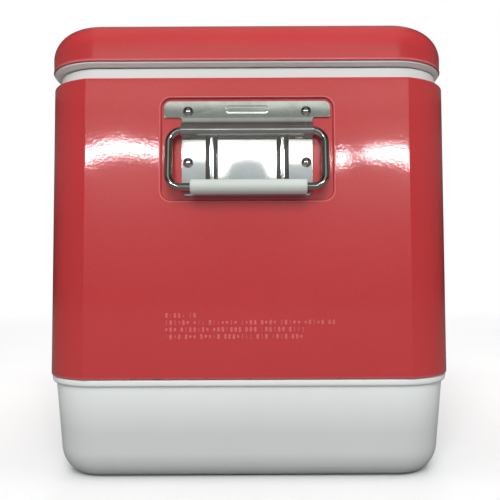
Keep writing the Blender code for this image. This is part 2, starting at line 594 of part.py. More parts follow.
def make_latch(lid_pivot):
    """The latch: a plate and a swinging hasp lever on the belt, and a strike on the lid."""
    turn = -math.pi / 2
    mount = add_empty("latch_mount", (0, -WIDTH / 2, 0), (0, 0, turn))
    strike_mount = add_empty("strike_mount", (0, -WIDTH / 2 - lid_pivot.location.y, -lid_pivot.location.z),
                             (0, 0, turn), lid_pivot)
    outline = rounded_outline((-LATCH_HALF, LATCH_PLATE_BOTTOM), (LATCH_HALF, LATCH_PLATE_TOP), 0.006)
    plate = add_object("latch_plate", prism_x(outline, GAP, GAP + PLATE), STAINLESS, mount)
    ear_low, ear_high = LEVER_HALF + 2 * GAP, LEVER_HALF + 0.0070
    for side in (-1, 1):
        ends = sorted((side * ear_low, side * ear_high))
        boolean(plate, block((GAP + PLATE / 2, ends[0], LATCH_HEIGHT - 0.0028),
                             (LATCH_OUT, ends[1], LATCH_HEIGHT + 0.0028)), "UNION")
        boolean(plate, rod_y(KNUCKLE_RADIUS, *ends, LATCH_OUT, LATCH_HEIGHT), "UNION")
    bore = rod_y(PIN_RADIUS + GAP, -LATCH_HALF, LATCH_HALF, LATCH_OUT, LATCH_HEIGHT)
    boolean(plate, merge([bore] + rivet_holes(LATCH_RIVETS, LATCH_SHANK, -0.001, 0.003)), "DIFFERENCE")
    rivet = rivet_mesh(0.0030, 0.0014, LATCH_SHANK, GAP + PLATE + SHEET)
    add_rivets("latch_rivet", rivet, [(GAP + PLATE, y, z) for y, z in LATCH_RIVETS], mount)

    head, neck = ear_high + 0.0012, ear_high + GAP
    pin_profile = [(-head, 0.0022), (-neck, 0.0026), (-neck, PIN_RADIUS), (neck, PIN_RADIUS), (neck, 0.0026),
                   (head, 0.0022)]
    loops = [[(LATCH_OUT + v, y, LATCH_HEIGHT + w) for v, w in arc((0, 0), radius, 0, 360, 12)[:-1]]
             for y, radius in pin_profile]
    add_object("latch_pin", skin(loops), STAINLESS, mount)

    pivot = add_empty("latch_pivot", (LATCH_OUT, 0, LATCH_HEIGHT), (0, LATCH_SWING, 0), mount)
    lever = add_object("latch_lever", prism_y(lever_outline(), -LEVER_HALF, LEVER_HALF), STAINLESS, pivot)
    boolean(lever, rod_y(KNUCKLE_RADIUS, -LEVER_HALF + 0.0001, LEVER_HALF - 0.0001), "UNION")
    boolean(lever, rod_y(PIN_RADIUS + GAP, -LATCH_HALF, LATCH_HALF), "DIFFERENCE")

    wall, lip = GAP - LID_INSET + LID_SHIFT, LATCH_HEIGHT + LATCH_REACH - 0.0005
    bottom, sheet = lip - 0.0014, PLATE
    profile = [(wall, bottom), (LATCH_OUT + 0.0010, bottom), (LATCH_OUT + 0.0010, lip), (wall + sheet, lip),
               (wall + sheet, HINGE_LEAF_TOP), (wall, HINGE_LEAF_TOP)]
    strike = add_object("latch_strike", prism_y(profile, -0.024, 0.024), STAINLESS, strike_mount)
    boolean(strike, merge(rivet_holes(STRIKE_RIVETS, LATCH_SHANK, -0.002, 0.003)), "DIFFERENCE")
    strike_rivet = rivet_mesh(0.0026, 0.0013, LATCH_SHANK, LID_STACK)
    add_rivets("strike_rivet", strike_rivet, [(wall + sheet, y, z) for y, z in STRIKE_RIVETS], strike_mount)


# ---- Drain: x is out from the middle of the chest towards its -X end ----
def make_drain():
    """The drain: a flanged spout through base and liner, its washer and nut, and a screw cap."""
    mount = add_empty("drain_mount", (0, 0, DRAIN_HEIGHT), (0, 0, math.pi))
    face, tube, bore = DRAIN_BOSS_FACE, DRAIN_TUBE_RADIUS, DRAIN_BORE_RADIUS
    flange = face + 0.0021
    neck_end = face + 0.0160
    inner_end = 0.2580
    spout = [(inner_end, bore), (inner_end, tube), (flange, tube), (flange, 0.0155), (flange + 0.0025, 0.0155),
             (flange + 0.0025, tube), (neck_end, tube), (neck_end, bore)]
    add_object("drain_spout", lathe_x(spout, DRAIN_STEPS, ring=True), WHITE_PLASTIC, mount)
    washer = [(face + GAP, tube + GAP), (face + GAP, 0.0150), (face + 0.0018, 0.0150), (face + 0.0018, tube + GAP)]
    add_object("drain_gasket", lathe_x(washer, DRAIN_STEPS, ring=True), RUBBER, mount)
    nut = [(0.2645, tube + GAP), (0.2645, 0.0120), (0.2605, 0.0120), (0.2605, tube + GAP)]
    add_object("drain_nut", lathe_x(nut, DRAIN_STEPS, ring=True), WHITE_PLASTIC, mount)

    cap_pivot = add_empty("drain_cap_axis", (neck_end, 0, 0), parent=mount)
    seal = [(GAP, bore), (GAP, 0.0108), (0.0015, 0.0108), (0.0015, bore)]
    add_object("drain_cap_washer", lathe_x(seal, DRAIN_STEPS, ring=True), RUBBER, cap_pivot)
    skirt, rim = flange + 0.0031 - neck_end, 0.0113
    cap = [(0.0018, 0.0040), (0.0018, rim), (skirt, rim), (skirt, 0.0146), (skirt + 0.0008, 0.0150),
           (0.0036, 0.0150), (0.0048, 0.0138), (0.0048, 0.0040)]
    add_object("drain_cap", lathe_x(cap, DRAIN_STEPS), WHITE_PLASTIC, cap_pivot)


# ---- The whole chest ----
def hardware_holes():
    """Rivet holes in the belt, rivet holes in the lid, and the pockets they need in the foam."""
    end, rear, front = math.pi, math.pi / 2, -math.pi / 2
    belt, lid, body_pockets, lid_pockets = [], [], [], []
    handle = merge(rivet_holes(HANDLE_RIVETS, HANDLE_SHANK, -0.004, 0.004))
    handle_pocket = block((-0.0065, -0.083, 0.2390), (0.005, 0.083, 0.3452))
    for turn in (0.0, end):
        place = (round(math.cos(turn)) * (LENGTH / 2 - PANEL_DEPTH), 0, 0)
        belt.append(placed(handle, place, turn))
        body_pockets.append(placed(handle_pocket, place, turn))
    for x in (-HINGE_X, HINGE_X):
        place = (x, WIDTH / 2, 0)
        belt.append(placed(merge(rivet_holes(BODY_LEAF_RIVETS, HINGE_SHANK, -0.003, 0.003)), place, rear))
        lid.append(placed(merge(rivet_holes(LID_LEAF_RIVETS, HINGE_SHANK, -0.007, 0.003)), place, rear))
        body_pockets.append(placed(block((-0.0055, -0.030, 0.327), (0.002, 0.030, 0.343)), place, rear))
        lid_pockets.append(placed(block((-0.0110, -0.030, 0.371), (0.002, 0.030, 0.384)), place, rear))
    place = (0, -WIDTH / 2, 0)
    belt.append(placed(merge(rivet_holes(LATCH_RIVETS, LATCH_SHANK, -0.003, 0.003)), place, front))
    lid.append(placed(merge(rivet_holes(STRIKE_RIVETS, LATCH_SHANK, -0.007, 0.003)), place, front))
    body_pockets.append(placed(block((-0.0055, -0.034, 0.264), (0.002, 0.034, 0.352)), place, front))
    lid_pockets.append(placed(block((-0.0090, -0.024, 0.371), (0.002, 0.024, 0.384)), place, front))
    tube_room, boss_room = DRAIN_TUBE_RADIUS + 0.0006, DRAIN_BOSS_RADIUS + 0.0005
    body_pockets.append(lathe_x([(-0.310, boss_room), (-0.2885, boss_room), (-0.2885, tube_room),
                                 (-0.250, tube_room)], DRAIN_STEPS, z=DRAIN_HEIGHT))
    return belt, lid, body_pockets, lid_pockets


def build():
    clear_scene()
    belt_holes, lid_holes, body_pockets, lid_pockets = hardware_holes()
    make_belt(belt_holes)
    make_base()
    make_liner()
    make_body_foam(body_pockets)
    lid_pivot = add_empty("lid_pivot", (0, WIDTH / 2 + HINGE_OUT, HINGE_HEIGHT))
    make_lid(lid_pivot, lid_holes, lid_pockets)
    make_handle("right", 0.0)
    make_handle("left", math.pi)
    make_hinge("right", HINGE_X, lid_pivot)
    make_hinge("left", -HINGE_X, lid_pivot)
    make_latch(lid_pivot)
    make_drain()


build()
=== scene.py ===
"""Looks of a steel-belted picnic cooler chest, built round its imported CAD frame.

Metres, +Z up. The length runs along X with the end that faces the camera at +X. The latch faces
-Y and the lid hinges on the +Y side. Every piece is drawn where its CAD node is at rest.
"""
import math
import random

import bmesh
import bpy
from mathutils import Matrix, Vector


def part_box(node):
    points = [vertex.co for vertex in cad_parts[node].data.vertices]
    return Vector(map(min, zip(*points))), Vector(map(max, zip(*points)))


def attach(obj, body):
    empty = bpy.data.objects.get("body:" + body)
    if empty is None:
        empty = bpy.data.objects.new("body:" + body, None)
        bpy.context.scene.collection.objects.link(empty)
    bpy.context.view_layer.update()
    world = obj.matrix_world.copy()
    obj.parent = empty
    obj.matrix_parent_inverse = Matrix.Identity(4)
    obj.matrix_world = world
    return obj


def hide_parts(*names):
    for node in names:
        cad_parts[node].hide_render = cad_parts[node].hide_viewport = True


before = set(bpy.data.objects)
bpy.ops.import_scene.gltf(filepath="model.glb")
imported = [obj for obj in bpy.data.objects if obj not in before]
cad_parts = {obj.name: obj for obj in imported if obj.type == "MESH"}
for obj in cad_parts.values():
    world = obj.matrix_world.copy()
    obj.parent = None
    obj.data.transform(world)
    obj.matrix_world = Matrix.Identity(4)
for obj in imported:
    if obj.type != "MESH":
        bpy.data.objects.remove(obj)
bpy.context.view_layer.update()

# ---- Places read from the CAD, in metres ----
BELT_LOW, BELT_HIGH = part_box("steel_belt")
LID_LOW, LID_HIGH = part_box("lid_skin")
RIM_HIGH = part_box("lid_liner")[1]
LINER_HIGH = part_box("inner_liner")[1]
SEAL_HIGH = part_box("lid_gasket")[1]
PLATE_LOW, PLATE_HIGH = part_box("handle_plate_right")
LEAF_LOW, LEAF_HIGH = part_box("hinge_body_leaf_right")
LID_LEAF_LOW, LID_LEAF_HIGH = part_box("hinge_lid_leaf_right")
KEEPER_LOW, KEEPER_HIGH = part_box("latch_plate")
STRIKE_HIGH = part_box("latch_strike")[1]
SPOUT_LOW, SPOUT_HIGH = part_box("drain_spout")
CAP_LOW, CAP_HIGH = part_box("drain_cap")
NUT_LOW, NUT_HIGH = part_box("drain_nut")
WASHER_LOW, WASHER_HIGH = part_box("drain_gasket")
CAP_SEAL_LOW, CAP_SEAL_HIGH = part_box("drain_cap_washer")

HALF_X, HALF_Y = BELT_HIGH.x, BELT_HIGH.y
LID_Y = (LID_LOW.y + LID_HIGH.y) / 2        # the closed lid sits a little towards the latch
DRAIN_Z = (SPOUT_LOW.z + SPOUT_HIGH.z) / 2

# ---- Shapes the CAD states only in its own source, in metres ----
GAP = 0.0003
SHEET = 0.0008              # belt and lid skin
CORNER_RADIUS = 0.052       # belt's vertical corners
LEAST_RADIUS = 0.008        # corners of the deepest sections
MOUTH_INSET = 0.0332        # liner's mouth against the belt's sides
MOUTH_RADIUS = 0.036
LINER_FLOOR = 0.0420
LINER_DRAFT = 0.0062
LINER_WALL = 0.0025

LID_SIDE_TOP = 0.3828       # where the lid's rounded edge starts
LID_EDGE_TOP = 0.4123       # where it runs into the crown
LID_EDGE_DEPTH = 0.0345
LID_FACE = 0.3663           # inner lid's lower face
SEAL_BEAD = 0.3657          # where the seal touches the collar

FLAT_EXTRA = 0.0100         # the end faces stay flat this far into the round corners
FLAT_FADE = 0.0060          # and meet the corner's plain round over about this much

RECESS_HALF = 0.07695       # recessed panel in each end: half width, heights, depth and slope
RECESS_LOW = 0.2444
RECESS_HIGH = 0.3375
RECESS_RADIUS = 0.010
RECESS_DEPTH = 0.0018
RECESS_SLOPE = 0.0019
RECESS_BEAD = 0.00022       # a slight raised lip round it, and how far out it runs
RECESS_BEAD_OUT = 0.0002

PLATE = 0.0012              # handle, hinge and latch sheet
PLATE_FACE = GAP + PLATE    # its outer face, measured from the face it is riveted to
EAR_BOTTOM = 0.3191
PLATE_HALF = 0.0577
HANDLE_RIVET_Y = 0.0520
HANDLE_RIVET_Z = (0.3244, 0.2789)
PIVOT_OUT = 0.0065
PIVOT_Z = 0.3060
BAIL_HALF = 0.0680
BAIL_DROP = 0.0503
BAIL_CORNER = 0.0110
ROD_RADIUS = 0.0035
SLEEVE_RADIUS = 0.0050
GRIP_RADIUS = 0.0065
GRIP_HALF = 0.0502
GRIP_SHIFT = 0.0016
RIB_Y = 0.0312
RIB_HALF = 0.0055
RIB_PROUD = 0.0035

HINGE_OUT = 0.0035
HINGE_Z = 0.3660
KNUCKLE_RADIUS = 0.0032
LID_KNUCKLE_HALF = 0.0140
PIN_RADIUS = 0.0015

LATCH_OUT = 0.0055
LATCH_Z = 0.3243
LEVER_HALF = 0.022
LATCH_REACH = 0.0480
LATCH_SWING = math.radians(170)

DRAIN_BOSS_FACE = 0.3000
DRAIN_BOSS_RADIUS = 0.0180
DRAIN_TUBE_RADIUS = 0.0100
DRAIN_BORE_RADIUS = 0.0070
DRAIN_FLANGE_RADIUS = 0.0155
DRAIN_WASHER_RADIUS = 0.0150
DRAIN_NUT_RADIUS = 0.0130
CAP_SEAL_RADIUS = 0.0108
CAP_RADIUS = 0.0150
THREAD_PITCH = 0.003

# Rivets: head radius, head height, shank radius
HANDLE_RIVET = (0.00445, 0.0023, 0.0022)
SMALL_RIVET = (0.0030, 0.0014, 0.0016)
STRIKE_RIVET = (0.0026, 0.0013, 0.0016)

# ---- Camera, from the photographed viewing angle ----
CAMERA_PLACE = (0.81185, 0.016, 0.1808)
CAMERA_PITCH = math.radians(2.71)
CAMERA_ROLL = math.radians(-0.25)
CAMERA_LENS = 41.90
CAMERA_SHIFT = (-0.0316, -0.0066)

# ---- Mesh resolution ----
CORNER_STEPS = 20           # facets in each vertical corner
TUBE_STEPS = 32             # facets round a tube
DRAIN_STEPS = 64
THREAD_STEPS = 48           # sections in each turn of the thread
LID_EDGE_STEPS = 18
FINE_STEP = 0.00035         # belt rows and columns where the recess turns
COLUMN_STEP = 0.012         # and elsewhere
ROW_STEP = 0.014
CLOSE_IN, CLOSE_OUT = 0.001, 0.0024     # how far the fine steps run in and out of the turn
FLAT_EASE = 0.0008          # a column this close to each side of an end face
EDGE_ROUND = 0.0003         # usual rounding of a sheet's edges
SHARP_ANGLE = math.radians(40.0)        # edges sharper than this are not shaded smooth


# ---- Points and profiles ----
def arc(centre, radius, start, end, steps):
    """Points of a circular arc, angles in degrees, both ends included."""
    points = []
    for step in range(steps + 1):
        angle = math.radians(start + (end - start) * step / steps)
        points.append((centre[0] + radius * math.cos(angle), centre[1] + radius * math.sin(angle)))
    return points


def rounded_outline(low, high, radius, steps=8):
    """A rectangle with round corners, from its low corner to its high corner."""
    points = []
    for corner, (u, v) in enumerate(((high[0] - radius, high[1] - radius),
                                     (low[0] + radius, high[1] - radius),
                                     (low[0] + radius, low[1] + radius),
                                     (high[0] - radius, low[1] + radius))):
        points += arc((u, v), radius, 90 * corner, 90 * corner + 90, steps)
    return points


def soften(points, radius, closed=True, steps=3):
    """Round a profile's sharp corners: each one becomes a short curve between its two sides."""
    count, made = len(points), []
    for i, point in enumerate(points):
        here = Vector(point)
        if not closed and i in (0, count - 1):
            made.append(tuple(here))
            continue
        back = Vector(points[i - 1]) - here
        ahead = Vector(points[(i + 1) % count]) - here
        if back.length < 1e-7 or ahead.length < 1e-7:
            made.append(tuple(here))
            continue
        if math.degrees(math.pi - back.angle(ahead)) < 20:
            made.append(tuple(here))
            continue
        reach = min(radius, 0.45 * back.length, 0.45 * ahead.length)
        start, end = here + back.normalized() * reach, here + ahead.normalized() * reach
        for step in range(steps + 1):
            t = step / steps
            made.append(tuple(start * (1 - t) ** 2 + here * 2 * t * (1 - t) + end * t ** 2))
    return made


def stations(low, high, close, fine, coarse):
    """Positions from low to high, at fine steps inside the close ranges and coarse ones elsewhere."""
    values = [low]
    while values[-1] < high - 1e-6:
        here = values[-1]
        inside_range = any(start - 1e-9 <= here < end - 1e-9 for start, end in close)
        ahead = here + (fine if inside_range else coarse)
        for start, _ in close:
            if here < start - 1e-9 < ahead:
                ahead = start
        values.append(min(ahead, high))
    return values


# ---- Meshes ----
def to_mesh(shape):
    bmesh.ops.recalc_face_normals(shape, faces=shape.faces)
    mesh = bpy.data.meshes.new("shape")
    shape.to_mesh(mesh)
    shape.free()
    return mesh


def skin(loops, ring=False):
    """One closed mesh through loops with equal numbers of points: capped, or joined in a ring."""
    shape = bmesh.new()
    rows = [[shape.verts.new(point) for point in loop] for loop in loops]
    count = len(rows[0])
    pairs = list(zip(rows, rows[1:])) + ([(rows[-1], rows[0])] if ring else [])
    for low, high in pairs:
        for i in range(count):
            j = (i + 1) % count
            shape.faces.new((low[i], low[j], high[j], high[i]))
    if not ring:
        shape.faces.new(rows[0])
        shape.faces.new(rows[-1])
    return to_mesh(shape)


def prism_x(outline, low, high):
    return skin([[(x, y, z) for y, z in outline] for x in (low, high)])


def prism_y(outline, low, high):
    return skin([[(x, y, z) for x, z in outline] for y in (low, high)])


def lathe(profile, steps=TUBE_STEPS, ring=False, along=0, centre=(0.0, 0.0), wave=None):
    """Turn a profile of (distance, radius) points about a line parallel to an axis."""
    loops = []
    for distance, radius in profile:
        loop = []
        for step in range(steps):
            angle = math.tau * step / steps
            reach = radius + (wave(angle, distance, radius) if wave else 0.0)
            u, v = centre[0] + reach * math.cos(angle), centre[1] + reach * math.sin(angle)
            loop.append((distance, u, v) if along == 0 else (u, distance, v))
        loops.append(loop)
    return skin(loops, ring)


def bevelled(mesh, width=EDGE_ROUND, angle=35.0):
    """Round every edge sharper than an angle."""
    shape = bmesh.new()
    shape.from_mesh(mesh)
    shape.normal_update()
    limit = math.radians(angle)
    sharp = [edge for edge in shape.edges if edge.is_manifold and edge.calc_face_angle(0.0) > limit]
    bmesh.ops.bevel(shape, geom=sharp, offset=width, segments=2, profile=0.5,
                    affect="EDGES", clamp_overlap=True)
    return to_mesh(shape)


def merge(meshes):
    shape = bmesh.new()
    for mesh in meshes:
        shape.from_mesh(mesh)
    mesh = bpy.data.meshes.new("shapes")
    shape.to_mesh(mesh)
    shape.free()
    return mesh


def add_object(name, data):
    item = bpy.data.objects.new(name, data)
    bpy.context.collection.objects.link(item)
    return item


def combined(mesh, tools, operation="UNION"):
    """Join or cut a mesh with others, and keep the result."""
    work = add_object("work", mesh)
    helpers = []
    for tool_mesh in tools:
        tool = add_object("tool", tool_mesh)
        modifier = work.modifiers.new(operation.title(), "BOOLEAN")
        modifier.operation, modifier.solver, modifier.object = operation, "EXACT", tool
        helpers.append(tool)
    graph = bpy.context.evaluated_depsgraph_get()
    made = bpy.data.meshes.new_from_object(work.evaluated_get(graph))
    for item in [work] + helpers:
        bpy.data.objects.remove(item, do_unlink=True)
    return made


def cut(mesh, tool):
    return combined(mesh, [tool], "DIFFERENCE")


def placed(mesh, matrix):
    made = mesh.copy()
    made.transform(matrix)
    return made


def add_piece(name, mesh, body, nodes, finish, weighted=True):
    """A visible piece: it rides on a body, stands for CAD nodes and takes their slot's finish."""
    slot, material = finish
    item = add_object(name, mesh)
    mesh.materials.clear()
    mesh.materials.append(material)
    mesh.shade_smooth()
    mesh.set_sharp_from_angle(angle=SHARP_ANGLE)
    if weighted:
        modifier = item.modifiers.new("Normals", "WEIGHTED_NORMAL")
        modifier.keep_sharp = True
    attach(item, body)
    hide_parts(*nodes)
    return item


# ---- Shell sections: (inset from the belt's sides, height, corner radius) ----
def outside(inset, height):
    return inset, height, max(CORNER_RADIUS - inset, LEAST_RADIUS)


def inside(inset, height):
    return inset, height, MOUTH_RADIUS - (inset - MOUTH_INSET)


def curve(centre, size, start, end, steps, family):
    """A rounded edge in section: an elliptical arc with angles in degrees."""
    points = []
    for step in range(steps + 1):
        angle = math.radians(start + (end - start) * step / steps)
        points.append(family(centre[0] - size[0] * math.cos(angle), centre[1] + size[1] * math.sin(angle)))
    return points


def shell(sections, ring=False, shift=0.0):
    """Loft rounded-rectangle sections, from the first to the last, into one closed mesh."""
    loops = []
    for inset, height, radius in sections:
        low = (-HALF_X + inset, -HALF_Y + inset + shift)
        high = (HALF_X - inset, HALF_Y - inset + shift)
        outline = rounded_outline(low, high, radius, CORNER_STEPS)
        loops.append([(x, y, height) for x, y in outline])
    return skin(loops, ring)


def drafted(height):
    """How far in the liner's inner wall is at a height."""
    return MOUTH_INSET + LINER_DRAFT * (LINER_HIGH.z - height) / (LINER_HIGH.z - LINER_FLOOR)


# ---- Materials ----
class Nodes:
    """A material's node tree, with short calls for the nodes that these finishes share."""

    def __init__(self, name):
        self.material = bpy.data.materials.new(name)
        self.material.use_nodes = True
        self.tree = self.material.node_tree
        self.shader = self.tree.nodes["Principled BSDF"]
        self.place = self.add("ShaderNodeTexCoord").outputs["Object"]

    def add(self, kind, **settings):
        node = self.tree.nodes.new(kind)
        for key, value in settings.items():
            setattr(node, key, value)
        return node

    def link(self, source, target):
        self.tree.links.new(source, target)

    def feed(self, value, socket):
        """Link a socket to another node's, or set it to a number or a colour."""
        if isinstance(value, (int, float, tuple)):
            socket.default_value = value
        else:
            self.link(value, socket)

    def stretched(self, scale):
        """Object coordinates scaled differently along each axis."""
        mapping = self.add("ShaderNodeMapping")
        mapping.inputs["Scale"].default_value = scale
        self.link(self.place, mapping.inputs["Vector"])
        return mapping.outputs["Vector"]

    def noise(self, scale, detail=3.0, roughness=0.5, vector=None):
        node = self.add("ShaderNodeTexNoise")
        node.inputs["Scale"].default_value = scale
        node.inputs["Detail"].default_value = detail
        node.inputs["Roughness"].default_value = roughness
        self.link(vector or self.place, node.inputs["Vector"])
        return node.outputs["Fac"]

    def cells(self, scale):
        node = self.add("ShaderNodeTexVoronoi", feature="F1")
        node.inputs["Scale"].default_value = scale
        self.link(self.place, node.inputs["Vector"])
        return node.outputs["Distance"]

    def height(self):
        """The height above the floor, in metres."""
        split = self.add("ShaderNodeSeparateXYZ")
        self.link(self.place, split.inputs["Vector"])
        return split.outputs["Z"]

    def levels(self, value, low, high, to_low=0.0, to_high=1.0):
        """Map a value's range onto another, clamped."""
        node = self.add("ShaderNodeMapRange")
        for key, number in (("From Min", low), ("From Max", high), ("To Min", to_low), ("To Max", to_high)):
            node.inputs[key].default_value = number
        self.link(value, node.inputs["Value"])
        return node.outputs["Result"]

    def times(self, first, second):
        node = self.add("ShaderNodeMath", operation="MULTIPLY")
        self.feed(first, node.inputs[0])
        self.feed(second, node.inputs[1])
        return node.outputs["Value"]

    def blend(self, factor, first, second):
        """Mix two colours, each a tuple or a socket."""
        node = self.add("ShaderNodeMix", data_type="RGBA")
        self.link(factor, node.inputs["Factor"])
        for value, socket in ((first, node.inputs[6]), (second, node.inputs[7])):
            self.feed((*value, 1.0) if isinstance(value, tuple) else value, socket)
        return node.outputs[2]

    def bump(self, value, distance, strength, below=None):
        node = self.add("ShaderNodeBump")
        node.inputs["Distance"].default_value = distance
        node.inputs["Strength"].default_value = strength
        self.link(value, node.inputs["Height"])
        if below:
            self.link(below, node.inputs["Normal"])
        return node.outputs["Normal"]

    def surface(self, **values):
        """Set or link the shader's sockets by name, with _ for a space."""
        for key, value in values.items():
            self.feed(value, self.shader.inputs[key.replace("_", " ")])
        return self.material


def enamel(name, light=(0.515, 0.040, 0.043), dark=(0.490, 0.036, 0.039)):
    """Glossy red baked enamel: clouding, dull rubbed patches, painted highlights on edges, orange peel,
    chipped edge.
    """
    n = Nodes(name)
    cloud = n.levels(n.noise(9.0, 4.0), 0.35, 0.65)
    red = n.blend(cloud, light, dark)
    fleck = n.levels(n.noise(900.0, 2.0), 0.45, 0.75)
    red = n.blend(fleck, red, (0.535, 0.047, 0.050))
    # Painted highlight: the crest attribute lightens the red to pale pink along lips and edges, standing
    # for the light that they catch.
    crest = n.add("ShaderNodeAttribute", attribute_name="crest").outputs["Fac"]
    red = n.blend(crest, red, (0.82, 0.30, 0.30))
    edge = n.levels(n.height(), BELT_LOW.z + 0.0022, BELT_LOW.z + 0.0006)
    worn = n.levels(n.noise(60.0, 3.0, 0.6, n.stretched((1.0, 1.0, 0.4))), 0.60, 0.68)
    chips = n.times(edge, worn)
    colour = n.blend(chips, red, (0.055, 0.040, 0.038))
    rubbed = n.noise(30.0, 5.0, 0.7, n.stretched((1.0, 0.7, 1.6)))
    roughness = n.levels(rubbed, 0.40, 0.75, 0.30, 0.36)
    waves = n.bump(n.noise(14.0, 1.0), 0.0010, 0.06)
    peel = n.bump(n.noise(430.0, 2.0, 0.45), 0.00012, 0.26, waves)
    n.surface(Base_Color=colour, Roughness=roughness, Normal=peel)
    n.link(peel, n.shader.inputs["Coat Normal"])
    return n.surface(IOR=1.35, Coat_Weight=0.9, Coat_Roughness=0.05, Coat_IOR=1.5)


def moulded(name, light, dark, grain, roughness, scuffs=0.0, painted_low_shade=None):
    """Moulded plastic: clouded colour, a fine grain and faint rub marks.

    The optional triple paints shade low down: the heights where it starts and is full, and the shade's
    colour.
    """
    n = Nodes(name)
    cloud = n.levels(n.noise(7.0, 5.0, 0.6), 0.35, 0.68)
    colour = n.blend(cloud, light, dark)
    speck = n.levels(n.noise(1500.0, 1.0), 0.62, 0.80)
    colour = n.blend(n.times(speck, 0.35), colour, dark)
    if scuffs:
        rub = n.levels(n.noise(38.0, 6.0, 0.75, n.stretched((1.0, 0.30, 3.5))), 0.60, 0.78)
        colour = n.blend(n.times(rub, scuffs), colour, (0.42, 0.41, 0.38))
    # Painted shade: the colour darkens towards the bottom, where less light reaches.
    if painted_low_shade:
        top, bottom, shade_colour = painted_low_shade
        shade_amount = n.levels(n.height(), top, bottom)
        colour = n.blend(shade_amount, colour, n.blend(cloud, shade_colour, tuple(0.96 * part for part in shade_colour)))
    polish = n.levels(n.noise(22.0, 4.0), 0.3, 0.7, roughness - 0.05, roughness + 0.07)
    ripple = n.bump(n.noise(26.0, 2.0), 0.0006, 0.12)
    pitting = n.bump(n.noise(1100.0, 3.0, 0.6), grain, 0.5, ripple)
    return n.surface(Base_Color=colour, Roughness=polish, Normal=pitting, IOR=1.46)


def stainless(name, along=(1.0, 1.0, 14.0), roughness=0.035, light=(0.76, 0.76, 0.735),
              dark=(0.66, 0.66, 0.635)):
    """Polished stainless sheet: fine drawn lines, soft smears and gentle buckling."""
    n = Nodes(name)
    lines = n.noise(260.0, 4.0, 0.6, n.stretched(along))
    smears = n.levels(n.noise(45.0, 5.0, 0.6), 0.42, 0.72)
    colour = n.blend(smears, light, dark)
    fine = n.levels(lines, 0.3, 0.7, roughness - 0.015, roughness + 0.025)
    haze = n.add("ShaderNodeMath", operation="ADD")
    n.link(fine, haze.inputs[0])
    n.link(n.times(smears, 0.03), haze.inputs[1])
    buckle = n.bump(n.noise(22.0, 1.0), 0.0006, 0.16)
    brushed = n.bump(lines, 0.00004, 0.05, buckle)
    return n.surface(Base_Color=colour, Metallic=1.0, Roughness=haze.outputs[0], Normal=brushed)


def rubber(name):
    n = Nodes(name)
    bloom = n.levels(n.noise(60.0, 5.0, 0.65), 0.4, 0.75)
    colour = n.blend(bloom, (0.030, 0.031, 0.030), (0.075, 0.076, 0.072))
    grain = n.bump(n.noise(1800.0, 2.0), 0.00006, 0.6)
    return n.surface(Base_Color=colour, Roughness=n.levels(bloom, 0.0, 1.0, 0.62, 0.8), Normal=grain)


def foam(name):
    n = Nodes(name)
    cell = n.levels(n.cells(900.0), 0.1, 0.7)
    shade = n.levels(n.noise(12.0, 4.0), 0.35, 0.7)
    colour = n.blend(shade, (0.80, 0.69, 0.42), (0.70, 0.57, 0.30))
    colour = n.blend(n.times(cell, 0.4), colour, (0.55, 0.42, 0.20))
    return n.surface(Base_Color=colour, Roughness=0.95, Normal=n.bump(cell, 0.0003, 0.8))


# Each finish with the material slot of the CAD nodes that it goes on
RED = "red_steel", enamel("red_enamel")
# The marks' lighter red is a painted highlight, standing for the light that the embossed edges catch.
PAINTED_HIGHLIGHT_RED = "red_steel", enamel("red_enamel_painted_highlight", (0.68, 0.16, 0.165), (0.62, 0.11, 0.115))
WHITE = "white_plastic", moulded(
    "white_moulding", (0.72, 0.745, 0.735), (0.68, 0.705, 0.69), 0.00006, 0.42, scuffs=0.10)
# The base's white is a lighter copy of the white moulding, painted lighter as light on the base, with
# painted shade towards the bottom.
BASE_WHITE_LIT_AND_SHADED = "white_plastic", moulded(
    "white_moulding_base_lit_and_shaded", (0.86, 0.89, 0.88), (0.83, 0.86, 0.845), 0.00006, 0.42, scuffs=0.10,
    painted_low_shade=(0.080, 0.042, (0.64, 0.66, 0.65)))
GRIP = "grip_plastic", moulded("grip_moulding", (0.60, 0.64, 0.60), (0.52, 0.56, 0.52), 0.00005, 0.36)
STEEL = "stainless", stainless("stainless_sheet")
ROD = "stainless", stainless(
    "stainless_rod", (14.0, 1.0, 14.0), 0.05, (0.56, 0.55, 0.52), (0.44, 0.43, 0.40))
RUBBER = "black_rubber", rubber("black_rubber")
FOAM = foam("pale_foam")


# ---- Belt ----
def recess_distance(y, z):
    """How far a place on the end face is outside the recess's rounded outline."""
    centre, half = (RECESS_LOW + RECESS_HIGH) / 2, (RECESS_HIGH - RECESS_LOW) / 2
    over_y, over_z = abs(y) - RECESS_HALF + RECESS_RADIUS, abs(z - centre) - half + RECESS_RADIUS
    outside_corner = math.hypot(max(over_y, 0.0), max(over_z, 0.0))
    return outside_corner + min(max(over_y, over_z), 0.0) - RECESS_RADIUS


def recess_depth(y, z):
    """How far the end face is pressed in at a place: a tray with soft sides and a slight lip."""
    distance = recess_distance(y, z)
    t = min(max(-distance / RECESS_SLOPE, 0.0), 1.0)
    lip = RECESS_BEAD * math.exp(-((distance + RECESS_BEAD_OUT) / 0.0005) ** 2)
    return RECESS_DEPTH * t * t * (3 - 2 * t) - lip


def corner_fullness(y):
    """How much squarer than a plain round the belt's corner starts, on the two end faces."""
    over = abs(y) - (HALF_Y - CORNER_RADIUS)
    if over <= 0.0:
        return 0.0
    fallen = CORNER_RADIUS - math.sqrt(max(CORNER_RADIUS ** 2 - over ** 2, 0.0))
    most = CORNER_RADIUS - math.sqrt(CORNER_RADIUS ** 2 - FLAT_EXTRA ** 2)
    return min(fallen, most * math.exp(-(over - FLAT_EXTRA) / FLAT_FADE))


